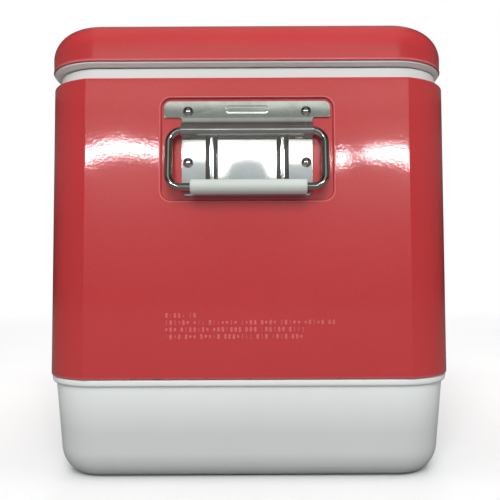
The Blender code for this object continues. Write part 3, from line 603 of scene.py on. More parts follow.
def corner_arc(centre, radius, start):
    """A quarter circle with close points where the end face turns into the corner."""
    turns = [0, 3.5, 7, 9.5, 10.3, 10.8, 11.3, 11.8, 12.5, 13.5, 15, 17.5, 21] + list(range(25, 91, 5))
    if start in (90, 270):
        turns = [90 - turn for turn in reversed(turns)]
    return [arc(centre, radius, start + turn, start + turn, 1)[0] for turn in turns]


def belt_loop(inset, height):
    """The belt's outline at a height, with close points where the end recess turns."""
    radius = max(CORNER_RADIUS - inset, LEAST_RADIUS)
    half_x, half_y = HALF_X - inset, HALF_Y - inset
    turn = (RECESS_HALF - RECESS_RADIUS - CLOSE_IN, RECESS_HALF + CLOSE_OUT)
    close = [(-turn[1], -turn[0]), turn]
    flat_end = HALF_Y - CORNER_RADIUS
    columns = stations(-flat_end, flat_end, close, FINE_STEP, COLUMN_STEP)[1:-1]
    columns = [-flat_end + FLAT_EASE] + columns + [flat_end - FLAT_EASE]
    loop = corner_arc((half_x - radius, half_y - radius), radius, 0)
    loop += corner_arc((-half_x + radius, half_y - radius), radius, 90)
    loop += [(-half_x, y) for y in reversed(columns)]
    loop += corner_arc((-half_x + radius, -half_y + radius), radius, 180)
    loop += corner_arc((half_x - radius, -half_y + radius), radius, 270)
    loop += [(half_x, y) for y in columns]
    flat = HALF_X - 0.002
    points = []
    for x, y in loop:
        sink = recess_depth(y, height) if abs(x) > flat else 0.0
        inward = sink - corner_fullness(y)
        points.append((x - inward if x > 0.0 else x + inward, y, height))
    return points


def paint_edge_highlights(mesh, strength):
    """Store at each vertex how much painted highlight the finish adds."""
    crest = mesh.attributes.new("crest", "FLOAT", "POINT")
    crest.data.foreach_set("value", [strength(vertex.co) for vertex in mesh.vertices])


def belt_edge_highlight(place):
    """Painted highlight along the recess's lip and the belt's bottom edge."""
    low_edge = math.exp(-((place.z - BELT_LOW.z - 0.0006) / 0.0006) ** 2)
    if abs(place.x) < HALF_X - 0.0004:
        return 0.35 * low_edge
    lip = math.exp(-((recess_distance(place.y, place.z) + RECESS_BEAD_OUT) / 0.00045) ** 2)
    return max(0.85 * lip, 0.35 * low_edge)


def make_belt():
    bend, low, high = 0.0018, BELT_LOW.z, BELT_HIGH.z
    turn = RECESS_RADIUS + CLOSE_IN
    close = [(RECESS_LOW - CLOSE_OUT, RECESS_LOW + turn), (RECESS_HIGH - turn, RECESS_HIGH + CLOSE_OUT)]
    rows = stations(low + 0.0024, high - bend - 0.002, close, FINE_STEP, ROW_STEP)
    profile = [(0.0030, low), (0.0012, low), (0.0004, low + 0.0003), (0.0, low + 0.0010)]
    profile += [(0.0, height) for height in rows]
    profile += [(bend - x, high - bend + z) for x, z in arc((0, 0), bend, 0, 90, 6)]
    profile += [(0.0082, high), (0.0082, high - SHEET), (bend, high - SHEET)]
    profile += [(SHEET, high - bend)]
    profile += [(SHEET, height) for height in reversed(rows)]
    profile += [(0.0014, low + SHEET), (0.0030, low + SHEET)]
    mesh = skin([belt_loop(inset, height) for inset, height in profile], ring=True)
    # Painted highlight on the recess's lip and the belt's bottom edge.
    paint_edge_highlights(mesh, belt_edge_highlight)
    add_piece("belt_sheet", mesh, "chest", ["steel_belt"], RED)


def raised(face, centre, half, rows, roundness, steps):
    """A low pad on a face at some x, through the (rise, shrink) rows of its outline."""
    (y, z), (half_y, half_z), loops = centre, half, []
    for rise, shrink in rows:
        low, high = (y - half_y + shrink, z - half_z + shrink), (y + half_y - shrink, z + half_z - shrink)
        outline = rounded_outline(low, high, roundness * (min(half) - shrink), steps)
        loops.append([(face + rise, u, v) for u, v in outline])
    return skin(loops)


def stud(y, z, half_y, half_z, rise=0.00045):
    """A small raised mark pressed in the end face: a rounded bar with a soft crest."""
    rows = ((-0.0004, 0.0), (0.0, 0.0), (0.6 * rise, 0.00018), (rise, 0.00045))
    return raised(HALF_X, (y, z), (half_y, half_z), rows, 0.98, 3)


def make_marks():
    """Rows of plain raised bars and dots, where the real chest has embossed words, in a lighter red as
    painted highlight.
    """
    draw = random.Random(7)
    start, pitch = -0.0717, 0.0037
    rows = ((0.1452, 0.0287), (0.1391, 0.1516), (0.1330, 0.1237), (0.1269, 0.1210))
    studs = []
    for height, length in rows:
        place = start
        while place < start + length - pitch:
            for _ in range(draw.randint(3, 7)):
                if place > start + length - pitch:
                    break
                half_z = draw.choice((0.0023, 0.0023, 0.0015))
                half_y = draw.choice((0.0005, 0.0012, 0.0012))
                studs.append(stud(place + 0.0013, height, half_y, half_z))
                place += pitch
            place += 0.6 * pitch
    add_piece("belt_marks", merge(studs), "chest", ["steel_belt"], PAINTED_HIGHLIGHT_RED)


# ---- Base and liner ----
def make_base():
    floor, foot = 0.0065, 0.0100
    fillet, low = (0.0225, 0.0275), BELT_LOW.z
    sections = curve((foot + 0.0260, floor + 0.0220), (0.0225, 0.0220), -90, 0, 8, outside)
    lip = [(0.0083, 0.0065), (0.0059, 0.0003), (0.0059, -0.0120), (0.0035, -0.0120),
           (0.0035, 0.0003), (0.0016, 0.0004), (0.0010, 0.0014), (0.0013, 0.0042),
           (0.0020, 0.0058), (0.0046, 0.0062), (0.0051, 0.0066), (0.0047, 0.0071)]
    sections += soften([outside(inset, low - below) for inset, below in lip], 0.0007, closed=False)
    sections += curve((foot + fillet[0], fillet[1]), fillet, 0, -90, 18, outside)
    base = shell(sections)
    radius = DRAIN_BOSS_RADIUS
    boss = lathe([(-0.2900, radius + 0.0012), (-0.2935, radius + 0.0004), (-0.2955, radius),
                  (-DRAIN_BOSS_FACE + 0.0010, radius), (-DRAIN_BOSS_FACE + 0.0003, radius - 0.0003),
                  (-DRAIN_BOSS_FACE, radius - 0.0010)], DRAIN_STEPS, centre=(0.0, DRAIN_Z))
    base = combined(base, [boss])
    bore = DRAIN_TUBE_RADIUS + GAP
    cuts = [lathe([(-0.3100, bore), (-0.2800, bore)], DRAIN_STEPS, centre=(0.0, DRAIN_Z))]
    pocket_depth, rib_half, margin = 0.0025, 0.010, 0.055
    pocket = ((-0.001, 0.0012), (0.0, 0.0006), (0.0010, 0.0), (pocket_depth, -0.0004))
    for side_x in (-1, 1):
        for side_y in (-1, 1):
            xs = sorted((side_x * rib_half, side_x * (HALF_X - margin)))
            ys = sorted((side_y * rib_half, side_y * (HALF_Y - margin)))
            loops = []
            for height, grow in pocket:
                outline = rounded_outline((xs[0] - grow, ys[0] - grow), (xs[1] + grow, ys[1] + grow), 0.012)
                loops.append([(x, y, height) for x, y in outline])
            cuts.append(skin(loops))
    base = cut(base, merge(cuts))
    add_piece("base_moulding", base, "chest", ["base_pan"], BASE_WHITE_LIT_AND_SHADED)


def make_liner():
    top, belt_top, floor_round = LINER_HIGH.z, BELT_HIGH.z, 0.008
    floor_inset = drafted(LINER_FLOOR + floor_round)
    mouth_round = 0.003
    centre = (floor_inset + floor_round, LINER_FLOOR + floor_round)
    sections = curve(centre, (floor_round, floor_round), -90, 0, 8, inside)
    sections += curve((MOUTH_INSET - mouth_round, top - mouth_round), (-mouth_round, mouth_round),
                      0, 90, 6, inside)
    collar = [outside(0.0080, top), outside(0.0064, top - 0.0006), outside(0.0059, top - 0.0020),
              outside(0.0054, belt_top + GAP), outside(0.0090, belt_top + GAP),
              outside(0.0092, top - 0.0030), inside(MOUTH_INSET - LINER_WALL, top - 0.0030)]
    sections += soften(collar, 0.0006, closed=False)
    outer = floor_round + LINER_WALL
    sections += curve(centre, (outer, outer), 0, -90, 8, inside)
    bore = DRAIN_TUBE_RADIUS + GAP
    hole = lathe([(-0.2900, bore), (-0.2500, bore)], DRAIN_STEPS, centre=(0.0, DRAIN_Z))
    liner = cut(shell(sections), hole)
    add_piece("liner_moulding", liner, "chest", ["inner_liner"], WHITE)


# ---- Lid ----
def crown(inset, drop):
    """The crown's height at an inset from the lid's sides."""
    reach = min(max((inset - LID_EDGE_DEPTH) / (HALF_Y - LID_EDGE_DEPTH), 0.0), 1.0)
    return LID_EDGE_TOP + (LID_HIGH.z - LID_EDGE_TOP) * (1 - (1 - reach) ** 2) - drop


def lid_dome(offset):
    """Sections of the lid's rounded edge and crown, up to the middle of the top."""
    depth, rise = LID_EDGE_DEPTH - offset, LID_EDGE_TOP - LID_SIDE_TOP - offset
    sections = curve((LID_EDGE_DEPTH, LID_SIDE_TOP), (depth, rise), 0, 90, LID_EDGE_STEPS, outside)
    for inset in (0.050, 0.070, 0.090, 0.115, 0.140, 0.160, 0.174):
        sections.append(outside(inset, crown(inset, offset)))
    return sections


def make_lid():
    """Lid skin with a rolled hem, inner lid with its rim and plug, and the seal."""
    low = LID_LOW.z
    hem = 0.0011
    hem_outer = [outside(hem - (hem + 0.0002) * math.cos(a), low + hem + hem * math.sin(a))
                 for a in (math.radians(angle) for angle in range(-90, 50, 14))]
    sections = lid_dome(SHEET)[::-1]
    sections += [outside(SHEET + 0.0004, low + 0.0030), outside(SHEET + 0.0006, low + 0.0002)]
    sections += hem_outer
    sections += [outside(0.00025, low + 2.6 * hem), outside(0.0002, low + 3.2 * hem),
                 outside(0.0001, low + 0.0080)]
    sections += lid_dome(0.0)
    mesh = shell(sections, shift=LID_Y)
    # Painted highlight along the lid's rolled hem.
    paint_edge_highlights(mesh, lambda place: 0.4 * math.exp(-((place.z - low - hem) / hem) ** 2))
    add_piece("lid_shell", mesh, "lid", ["lid_skin"], RED)

    face, rim, top = LID_FACE, low - GAP, RIM_HIGH.z
    groove = face + 0.0014
    profile = [inside(0.0550, face - 0.0015), inside(0.0535, face - 0.0072), inside(0.0385, face - 0.0072),
               inside(0.0370, face + 0.0028), outside(0.0080, face + 0.0028),
               outside(0.0051, face + 0.0053), outside(0.0050, top), outside(0.0024, top),
               outside(0.0024, rim + 0.0005), outside(0.0020, rim),
               outside(0.0009, rim - 0.0002), outside(0.0012, rim - 0.0012),
               outside(0.0044, face + 0.0003), outside(0.0050, face), outside(0.0100, face),
               outside(0.0100, groove), outside(0.0170, groove), outside(0.0170, face),
               inside(0.0348, face), inside(0.0362, face - 0.0014), inside(0.0366, face - 0.0087),
               inside(0.0376, face - 0.0097), inside(0.0548, face - 0.0097), inside(0.0560, face - 0.0087),
               inside(0.0575, face - 0.0040)]
    inner = shell(soften(profile, 0.0006, closed=False), shift=LID_Y)
    add_piece("lid_inner", inner, "lid", ["lid_liner"], WHITE)

    seal_top, bead = SEAL_HIGH.z, SEAL_BEAD + GAP
    seal = [outside(0.0103, seal_top), outside(0.0103, face - GAP), outside(0.0118, bead),
            outside(0.0152, bead), outside(0.0167, face - GAP), outside(0.0167, seal_top)]
    gasket = shell(soften(seal, 0.0004), ring=True, shift=LID_Y)
    add_piece("lid_seal", gasket, "lid", ["lid_gasket"], RUBBER)


# ---- Rivets ----
BODY_STACK = PLATE_FACE + SHEET             # what a rivet clamps on the belt, and on the lid
LID_STACK = PLATE_FACE + 0.0051 - 0.0002


def rivet_mesh(head_radius, head_height, shank_radius, stack):
    """A domed rivet along X: x = 0 is the outer face that it clamps."""
    tail_radius, tail_height = 1.45 * shank_radius, 0.0016
    tail = -stack - GAP
    profile = [(tail - tail_height, 0.8 * tail_radius), (tail - 0.4 * tail_height, tail_radius),
               (tail, tail_radius), (tail, shank_radius), (0.0, shank_radius),
               (0.00005, head_radius - 0.0002), (0.0002, head_radius)]
    for angle in range(12, 90, 11):
        turn = math.radians(angle)
        profile.append((0.0002 + head_height * math.sin(turn), head_radius * math.cos(turn)))
    return lathe(profile)


def add_rivets(name, mesh, face, places, mount, body):
    """Rivets through a sheet whose outer face is at x = face, numbered from one."""
    for number, (y, z) in enumerate(places, 1):
        node = f"{name}_{number}"
        made = placed(mesh, mount @ Matrix.Translation((face, y, z)))
        add_piece(f"{node}_head", made, body, [node], STEEL)


# ---- Handles: x is out from the recessed panel, y across it, z up ----
HANDLE_RIVETS = [(side * HANDLE_RIVET_Y, height) for height in HANDLE_RIVET_Z for side in (-1, 1)]


def handle_plate_mesh():
    """The flat plate: a broad upper flange with ears over a narrower lower part."""
    ear_half = PLATE_HIGH.y
    ear_corner, step_corner, foot_corner = 0.006, 0.002, 0.005
    half = arc((PLATE_HALF - foot_corner, PLATE_LOW.z + foot_corner), foot_corner, -90, 0, 8)
    half += arc((PLATE_HALF + step_corner, EAR_BOTTOM - step_corner), step_corner, 180, 90, 5)
    half += arc((ear_half - step_corner, EAR_BOTTOM + step_corner), step_corner, -90, 0, 5)
    half += arc((ear_half - ear_corner, PLATE_HIGH.z - ear_corner), ear_corner, 0, 90, 8)
    outline = half + [(-y, z) for y, z in reversed(half)]
    return bevelled(prism_x(outline, GAP, PLATE_FACE), 0.00035)


def sleeve_mesh():
    """The rolled sleeve: the sheet bends out under the ears and wraps round the bail's top bar."""
    back, front = GAP + PLATE / 2, PLATE_FACE
    outline = [(back, EAR_BOTTOM - 0.0002), (front + 0.00005, EAR_BOTTOM - 0.0004)]
    outline += [(front + 0.00014, EAR_BOTTOM - 0.0040), (front + 0.0006, EAR_BOTTOM - 0.0050),
                (0.0036, EAR_BOTTOM - 0.0060), (0.0056, EAR_BOTTOM - 0.0069), (0.0066, EAR_BOTTOM - 0.0075)]
    outline += arc((PIVOT_OUT, PIVOT_Z), SLEEVE_RADIUS, 66, -106, 18)
    outline += [(0.0036, PIVOT_Z - SLEEVE_RADIUS - 0.0001), (front, PIVOT_Z - 0.0068),
                (back, PIVOT_Z - 0.0068)]
    return bevelled(prism_y(outline, -PLATE_HALF, PLATE_HALF), angle=50.0)


def rib_mesh(y):
    """A half-round vertical rib, rounded over at its lower end; the sleeve covers its upper end."""
    low, high = PLATE_LOW.z + 0.003, PIVOT_Z - 0.002
    base = GAP + PLATE / 2
    rounded_end = 0.005
    turns = [math.radians(turn) for turn in range(14, 91, 12)]
    stages = [(low + rounded_end * (1 - math.cos(turn)), math.sin(turn)) for turn in turns]
    loops = []
    for height, scale in stages + [(low + rounded_end, 1.0), (high, 1.0)]:
        proud = RIB_PROUD * scale + PLATE / 2
        loops.append([(base + proud * math.sin(angle), y + RIB_HALF * scale * math.cos(angle), height)
                      for angle in (math.radians(180 * step / 20) for step in range(21))])
    return skin(loops)


def badge_mesh():
    """A plain raised lozenge on the flange, in place of an embossed name."""
    rows = ((-0.0003, 0.0), (0.0, 0.0), (0.00006, 0.0006), (0.0001, 0.0014), (0.00012, 0.0022))
    return raised(PLATE_FACE, (0.0, 0.3262), (0.0195, 0.0040), rows, 0.95, 8)


def bail_mesh():
    """One rod bent into a closed round-cornered frame, hanging from the pivot at the origin."""
    path = rounded_outline((-BAIL_HALF, -BAIL_DROP), (BAIL_HALF, 0.0), BAIL_CORNER, 14)
    count, loops = len(path), []
    for i, (y, z) in enumerate(path):
        ahead, back = path[(i + 1) % count], path[i - 1]
        along = Vector((0.0, ahead[0] - back[0], ahead[1] - back[1])).normalized()
        across = along.cross(Vector((1.0, 0.0, 0.0)))
        centre = Vector((0.0, y, z))
        loop = []
        for step in range(24):
            angle = math.tau * step / 24
            reach = Vector((1.0, 0.0, 0.0)) * math.cos(angle) + across * math.sin(angle)
            loop.append(centre + reach * ROD_RADIUS)
        loops.append(loop)
    return skin(loops, ring=True)


def grip_mesh():
    """The grip: a plastic sleeve on the bail's bottom bar, with a moulding line along its back."""
    bore, end = ROD_RADIUS + GAP, GRIP_HALF
    profile = [(-end, bore), (-end, GRIP_RADIUS - 0.0013), (-end + 0.0002, GRIP_RADIUS - 0.0006),
               (-end + 0.0007, GRIP_RADIUS - 0.0001), (-end + 0.0015, GRIP_RADIUS)]
    profile = profile + [(-y, radius) for y, radius in reversed(profile)]

    def seam(angle, _, radius):
        near = min(abs(angle - math.pi), 0.25) / 0.25
        return 0.0 if radius < bore + 0.0001 else -0.0004 * (1 - near) ** 2

    return lathe(profile, 96, ring=True, along=1, centre=(0.0, -BAIL_DROP), wave=seam)


def make_handle(side, turn):
    """One end's handle: riveted plate, bail in its sleeve, and grip."""
    mount = Matrix.Rotation(turn, 4, "Z") @ Matrix.Translation((HALF_X - RECESS_DEPTH, 0.0, 0.0))
    bore = lathe([(-0.09, ROD_RADIUS + GAP), (0.09, ROD_RADIUS + GAP)], along=1,
                 centre=(PIVOT_OUT, PIVOT_Z))
    parts = [sleeve_mesh(), rib_mesh(-RIB_Y), rib_mesh(RIB_Y), badge_mesh()]
    plate = cut(combined(handle_plate_mesh(), parts), bore)
    add_piece(f"handle_pressing_{side}", placed(plate, mount), "chest", [f"handle_plate_{side}"], STEEL)
    rivet = rivet_mesh(*HANDLE_RIVET, BODY_STACK)
    add_rivets(f"handle_rivet_{side}", rivet, PLATE_FACE, HANDLE_RIVETS, mount, "chest")
    lean = math.asin((PLATE_FACE + RIB_PROUD + GAP + GRIP_RADIUS - PIVOT_OUT) / BAIL_DROP)
    pivot = mount @ Matrix.Translation((PIVOT_OUT, 0.0, PIVOT_Z)) @ Matrix.Rotation(-lean, 4, "Y")
    add_piece(f"bail_rod_{side}", placed(bail_mesh(), pivot), f"bail_{side}", [f"handle_bail_{side}"],
              ROD, weighted=False)
    grip = placed(grip_mesh(), pivot @ Matrix.Translation((0.0, GRIP_SHIFT, 0.0)))
    add_piece(f"bail_grip_{side}", grip, f"bail_{side}", [f"handle_grip_{side}"], GRIP)


# ---- Hinges: x is out from the belt's back, y along it, z up ----
BODY_LEAF_RIVETS = [(side * 0.024, 0.3350) for side in (-1, 1)]
LID_LEAF_RIVETS = [(side * 0.025, 0.3770) for side in (-1, 1)]


def barrel(low, high, radius, x, z):
    """A solid round bar along Y with eased ends."""
    ease = min(0.0003, 0.2 * radius)
    profile = [(low, radius - ease), (low + ease, radius), (high - ease, radius), (high, radius - ease)]
    return lathe(profile, along=1, centre=(x, z))


def make_hinge(side, x):
    half = (LEAF_HIGH.x - LEAF_LOW.x) / 2
    mount = Matrix.Translation((x, HALF_Y, 0.0)) @ Matrix.Rotation(math.pi / 2, 4, "Z")
    slot = LID_KNUCKLE_HALF + GAP
    outline = rounded_outline((-half, LEAF_LOW.z), (half, HINGE_Z), 0.004)
    leaf = prism_x(outline, GAP, PLATE_FACE)
    notch = prism_x([(-slot, HINGE_Z - 0.0048), (slot, HINGE_Z - 0.0048), (slot, HINGE_Z + 0.01),
                     (-slot, HINGE_Z + 0.01)], -0.002, 0.010)
    knuckles = [barrel(*ends, KNUCKLE_RADIUS, HINGE_OUT, HINGE_Z)
                for ends in ((-half, -slot), (slot, half))]
    leaf = combined(bevelled(cut(leaf, notch)), knuckles)
    bore = barrel(-0.05, 0.05, PIN_RADIUS + 0.5 * GAP, HINGE_OUT, HINGE_Z)
    leaf = cut(leaf, bore)
    add_piece(f"hinge_leaf_{side}", placed(leaf, mount), "chest", [f"hinge_body_leaf_{side}"], STEEL)

    wall = LID_LEAF_LOW.y - HALF_Y
    upper = rounded_outline((-half, HINGE_Z + 0.0042), (half, LID_LEAF_HIGH.z), 0.0025)
    lid_leaf = bevelled(prism_x(upper, wall, wall + PLATE))
    knuckle_half = LID_KNUCKLE_HALF - 0.0001
    web = [(wall, HINGE_Z - 0.0005), (HINGE_OUT, HINGE_Z - 0.0005), (HINGE_OUT, HINGE_Z + 0.0030),
           (wall + 0.0022, HINGE_Z + 0.0040), (wall + PLATE, HINGE_Z + 0.0060), (wall, HINGE_Z + 0.0060)]
    parts = [prism_y(web, -knuckle_half, knuckle_half),
             barrel(-knuckle_half, knuckle_half, KNUCKLE_RADIUS, HINGE_OUT, HINGE_Z)]
    lid_leaf = cut(combined(lid_leaf, parts), bore)
    add_piece(f"hinge_strap_{side}", placed(lid_leaf, mount), "lid", [f"hinge_lid_leaf_{side}"], STEEL)
    pin = barrel(-half, half, PIN_RADIUS, HINGE_OUT, HINGE_Z)
    add_piece(f"hinge_rod_{side}", placed(pin, mount), "chest", [f"hinge_pin_{side}"], ROD)
    rivet = rivet_mesh(*SMALL_RIVET, BODY_STACK)
    add_rivets(f"hinge_body_rivet_{side}", rivet, PLATE_FACE, BODY_LEAF_RIVETS, mount, "chest")
    rivet = rivet_mesh(*SMALL_RIVET, LID_STACK)
    add_rivets(f"hinge_lid_rivet_{side}", rivet, wall + PLATE, LID_LEAF_RIVETS, mount, "lid")


# ---- Latch: x is out from the belt's front, y along it, z up ----
LATCH_RIVETS = [(side * 0.0272, height) for height in (0.3440, 0.2720) for side in (-1, 1)]
STRIKE_RIVETS = [(side * 0.0180, 0.3771) for side in (-1, 1)]


def lever_profile():
    """The closed lever in section, with its axis at the origin: strap, hook inwards, tab outwards."""
    strap_in, strap_out, sheet, reach = KNUCKLE_RADIUS - 0.0014, KNUCKLE_RADIUS, 0.0014, LATCH_REACH
    return [(strap_in, 0.0), (strap_out, 0.0), (strap_out, reach - 0.0040),
            (strap_out + 0.0012, reach + 0.0016), (strap_out + 0.0040, reach + 0.0056),
            (0.0110, reach + 0.0085), (0.0102, reach + 0.0097),
            (strap_out + 0.0026, reach + 0.0065), (strap_out - 0.0006, reach + sheet),
            (-0.0025, reach + sheet), (-0.0025, reach), (strap_in, reach)]


def make_latch():
    """A plate and a swinging hasp lever on the belt, and a strike on the lid."""
    mount = Matrix.Translation((0.0, -HALF_Y, 0.0)) @ Matrix.Rotation(-math.pi / 2, 4, "Z")
    half = KEEPER_HIGH.x
    outline = rounded_outline((-half, KEEPER_LOW.z), (half, KEEPER_HIGH.z), 0.006)
    plate = bevelled(prism_x(outline, GAP, PLATE_FACE))
    ear_low, ear_high = LEVER_HALF + 2 * GAP, LEVER_HALF + 0.0070
    ears = []
    for side in (-1, 1):
        ends = sorted((side * ear_low, side * ear_high))
        cheek = [(GAP + PLATE / 2, LATCH_Z - 0.0046), (PLATE_FACE, LATCH_Z - 0.0046),
                 (LATCH_OUT, LATCH_Z - 0.0029), (LATCH_OUT, LATCH_Z + 0.0029),
                 (PLATE_FACE, LATCH_Z + 0.0046), (GAP + PLATE / 2, LATCH_Z + 0.0046)]
        ears += [prism_y(cheek, *ends), barrel(*ends, KNUCKLE_RADIUS, LATCH_OUT, LATCH_Z)]
    bore = barrel(-0.04, 0.04, PIN_RADIUS + 0.5 * GAP, LATCH_OUT, LATCH_Z)
    plate = cut(combined(plate, ears), bore)
    add_piece("latch_keeper", placed(plate, mount), "chest", ["latch_plate"], STEEL)
    rivet = rivet_mesh(*SMALL_RIVET, BODY_STACK)
    add_rivets("latch_rivet", rivet, PLATE_FACE, LATCH_RIVETS, mount, "chest")

    head, neck = ear_high + 0.0012, ear_high + GAP
    profile = [(-head, 0.0018), (-head + 0.0003, 0.0024), (-neck, 0.0026), (-neck, PIN_RADIUS)]
    profile = profile + [(-y, radius) for y, radius in reversed(profile)]
    pin = lathe(profile, along=1, centre=(LATCH_OUT, LATCH_Z))
    add_piece("latch_rod", placed(pin, mount), "chest", ["latch_pin"], ROD)

    lever = bevelled(prism_y(soften(lever_profile(), 0.0012), -LEVER_HALF, LEVER_HALF), angle=60.0)
    lever = combined(lever, [barrel(-LEVER_HALF + 0.0001, LEVER_HALF - 0.0001, KNUCKLE_RADIUS, 0.0, 0.0)])
    bore = barrel(-0.04, 0.04, PIN_RADIUS + 0.5 * GAP, 0.0, 0.0)
    lever = cut(lever, bore)
    pivot = mount @ Matrix.Translation((LATCH_OUT, 0.0, LATCH_Z)) @ Matrix.Rotation(LATCH_SWING, 4, "Y")
    add_piece("latch_hasp", placed(lever, pivot), "latch", ["latch_lever"], STEEL)

    wall, lip = -HALF_Y - STRIKE_HIGH.y, LATCH_Z + LATCH_REACH - 0.0005
    bottom = lip - 0.0014
    out = LATCH_OUT + 0.0010
    profile = [(wall, bottom), (out, bottom), (out, lip), (wall + PLATE, lip),
               (wall + PLATE, STRIKE_HIGH.z), (wall, STRIKE_HIGH.z)]
    strike = bevelled(prism_y(soften(profile, 0.0005), -STRIKE_HIGH.x, STRIKE_HIGH.x), 0.00025, angle=60.0)
    add_piece("latch_catch", placed(strike, mount), "lid", ["latch_strike"], STEEL)
    rivet = rivet_mesh(*STRIKE_RIVET, LID_STACK)
    add_rivets("strike_rivet", rivet, wall + PLATE, STRIKE_RIVETS, mount, "lid")


# ---- Drain: x is out from the middle of the chest towards its -X end ----
def thread_mesh(low, high, root, crest):
    """A helical thread ridge with tapered ends, wound on a tube along X."""
    turns = (high - low) / THREAD_PITCH - 0.5
    count = int(THREAD_STEPS * turns)
    loops = []
    for step in range(count + 1):
        angle = math.tau * step / THREAD_STEPS
        middle = low + 0.25 * THREAD_PITCH + THREAD_PITCH * step / THREAD_STEPS
        fade = min(1.0, step / 10, (count - step) / 10)
        top = root + (crest - root) * fade
        section = [(middle - 0.0009, root - 0.0003), (middle - 0.0009, root), (middle - 0.0003, top),
                   (middle + 0.0003, top), (middle + 0.0009, root), (middle + 0.0009, root - 0.0003)]
        loops.append([(x, radius * math.cos(angle), radius * math.sin(angle)) for x, radius in section])
    return skin(loops)


def make_drain():
    mount = Matrix.Translation((0.0, 0.0, DRAIN_Z)) @ Matrix.Rotation(math.pi, 4, "Z")
    face, tube, bore = DRAIN_BOSS_FACE, DRAIN_TUBE_RADIUS, DRAIN_BORE_RADIUS
    flange, neck_end, inner_end = face + 0.0021, -SPOUT_LOW.x, -SPOUT_HIGH.x
    flange_end, flange_radius = flange + 0.0025, DRAIN_FLANGE_RADIUS
    profile = [(inner_end, bore), (inner_end, tube), (flange, tube), (flange, flange_radius),
               (flange_end, flange_radius), (flange_end, tube), (neck_end, tube), (neck_end, bore)]
    spout = lathe(soften(profile, 0.0006), DRAIN_STEPS, ring=True)
    thread = thread_mesh(flange + 0.0030, neck_end - 0.0012, tube - 0.0001, tube + 0.0008)
    spout = combined(spout, [thread])
    add_piece("drain_tube", placed(spout, mount), "chest", ["drain_spout"], WHITE)

    washer_in, washer_out = -WASHER_HIGH.x, -WASHER_LOW.x
    profile = [(washer_in, tube + GAP), (washer_in, DRAIN_WASHER_RADIUS),
               (washer_out, DRAIN_WASHER_RADIUS), (washer_out, tube + GAP)]
    washer = lathe(soften(profile, 0.0004), DRAIN_STEPS, ring=True)
    add_piece("drain_washer", placed(washer, mount), "chest", ["drain_gasket"], RUBBER)

    def hexagon(angle, _, radius):
        if radius < tube + 0.001:
            return 0.0
        sector = math.pi / 3
        off = (angle % sector) - sector / 2
        return min(radius, radius * 0.93 / math.cos(off)) - radius

    nut_low, nut_high = -NUT_HIGH.x, -NUT_LOW.x
    profile = [(nut_low, tube + GAP), (nut_low, 0.0122), (nut_low + 0.0006, DRAIN_NUT_RADIUS),
               (nut_high, DRAIN_NUT_RADIUS), (nut_high, tube + GAP)]
    nut = lathe(profile, 96, ring=True, wave=hexagon)
    add_piece("drain_locknut", placed(nut, mount), "chest", ["drain_nut"], WHITE)

    seal_low, seal_high = -CAP_SEAL_HIGH.x, -CAP_SEAL_LOW.x
    profile = [(seal_low, bore), (seal_low, CAP_SEAL_RADIUS), (seal_high, CAP_SEAL_RADIUS),
               (seal_high, bore)]
    seal = lathe(soften(profile, 0.0003), DRAIN_STEPS, ring=True)
    add_piece("drain_cap_seal", placed(seal, mount), "cap_washer", ["drain_cap_washer"], RUBBER)

    def flutes(angle, distance, radius):
        grip = 0.0139 < radius and distance < cap_end - 0.0014
        return -0.0007 * (0.5 + 0.5 * math.cos(24 * angle)) ** 2 if grip else 0.0

    skirt, cap_end, rim = -CAP_HIGH.x, -CAP_LOW.x, 0.0113
    profile = [(neck_end + 0.0018, 0.0040), (neck_end + 0.0018, rim), (skirt, rim), (skirt, 0.0143),
               (skirt + 0.0004, 0.0148), (skirt + 0.0012, CAP_RADIUS), (skirt + 0.0050, CAP_RADIUS),
               (cap_end - 0.0020, CAP_RADIUS), (cap_end - 0.0012, 0.0149), (cap_end - 0.0004, 0.0144),
               (cap_end, 0.0134), (cap_end, 0.0098), (cap_end - 0.0006, 0.0090), (cap_end - 0.0006, 0.0040)]
    cap = lathe(profile, 192, wave=flutes)
    add_piece("drain_screwcap", placed(cap, mount), "cap", ["drain_cap"], WHITE)


# ---- Whole chest ----
make_belt()
make_marks()
make_base()
make_liner()
make_lid()
make_handle("right", 0.0)
make_handle("left", math.pi)
for side, name in ((1, "right"), (-1, "left")):
    make_hinge(name, side * (LEAF_LOW.x + LEAF_HIGH.x) / 2)
make_latch()
make_drain()
for node in ("body_foam", "lid_foam"):
    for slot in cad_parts[node].material_slots:
        slot.material = FOAM


# ---- Stage ----
CHEST_MIDDLE = (0.0, 0.0, 0.20)
FLOOR_REACH = 6.0
FLOOR_BOUNCE = (0.38, 0.38, 0.39)   # the floor throws back less light than its pale face shows
FLOOR_MIRRORED = (0.13, 0.13, 0.13)     # and looks darker still in the enamel and the steel
FLOOR_FADE = (0.5, 2.2)             # where the floor starts to turn white, and is white

FILLS = (                           # name, place, size, radiance
    ("fill_top", (0.0, 0.0, 3.0), (3.4, 3.4), 1.6), ("fill_end", (2.8, 0.0, 2.2), (2.0, 1.8), 8.2),
    ("fill_rear", (-3.0, 0.0, 1.5), (2.6, 2.0), 2.2),
    ("fill_side_-1", (0.0, -3.0, 1.5), (2.6, 2.0), 0.65),
    ("fill_side_1", (0.0, 3.0, 1.5), (2.6, 2.0), 0.65))

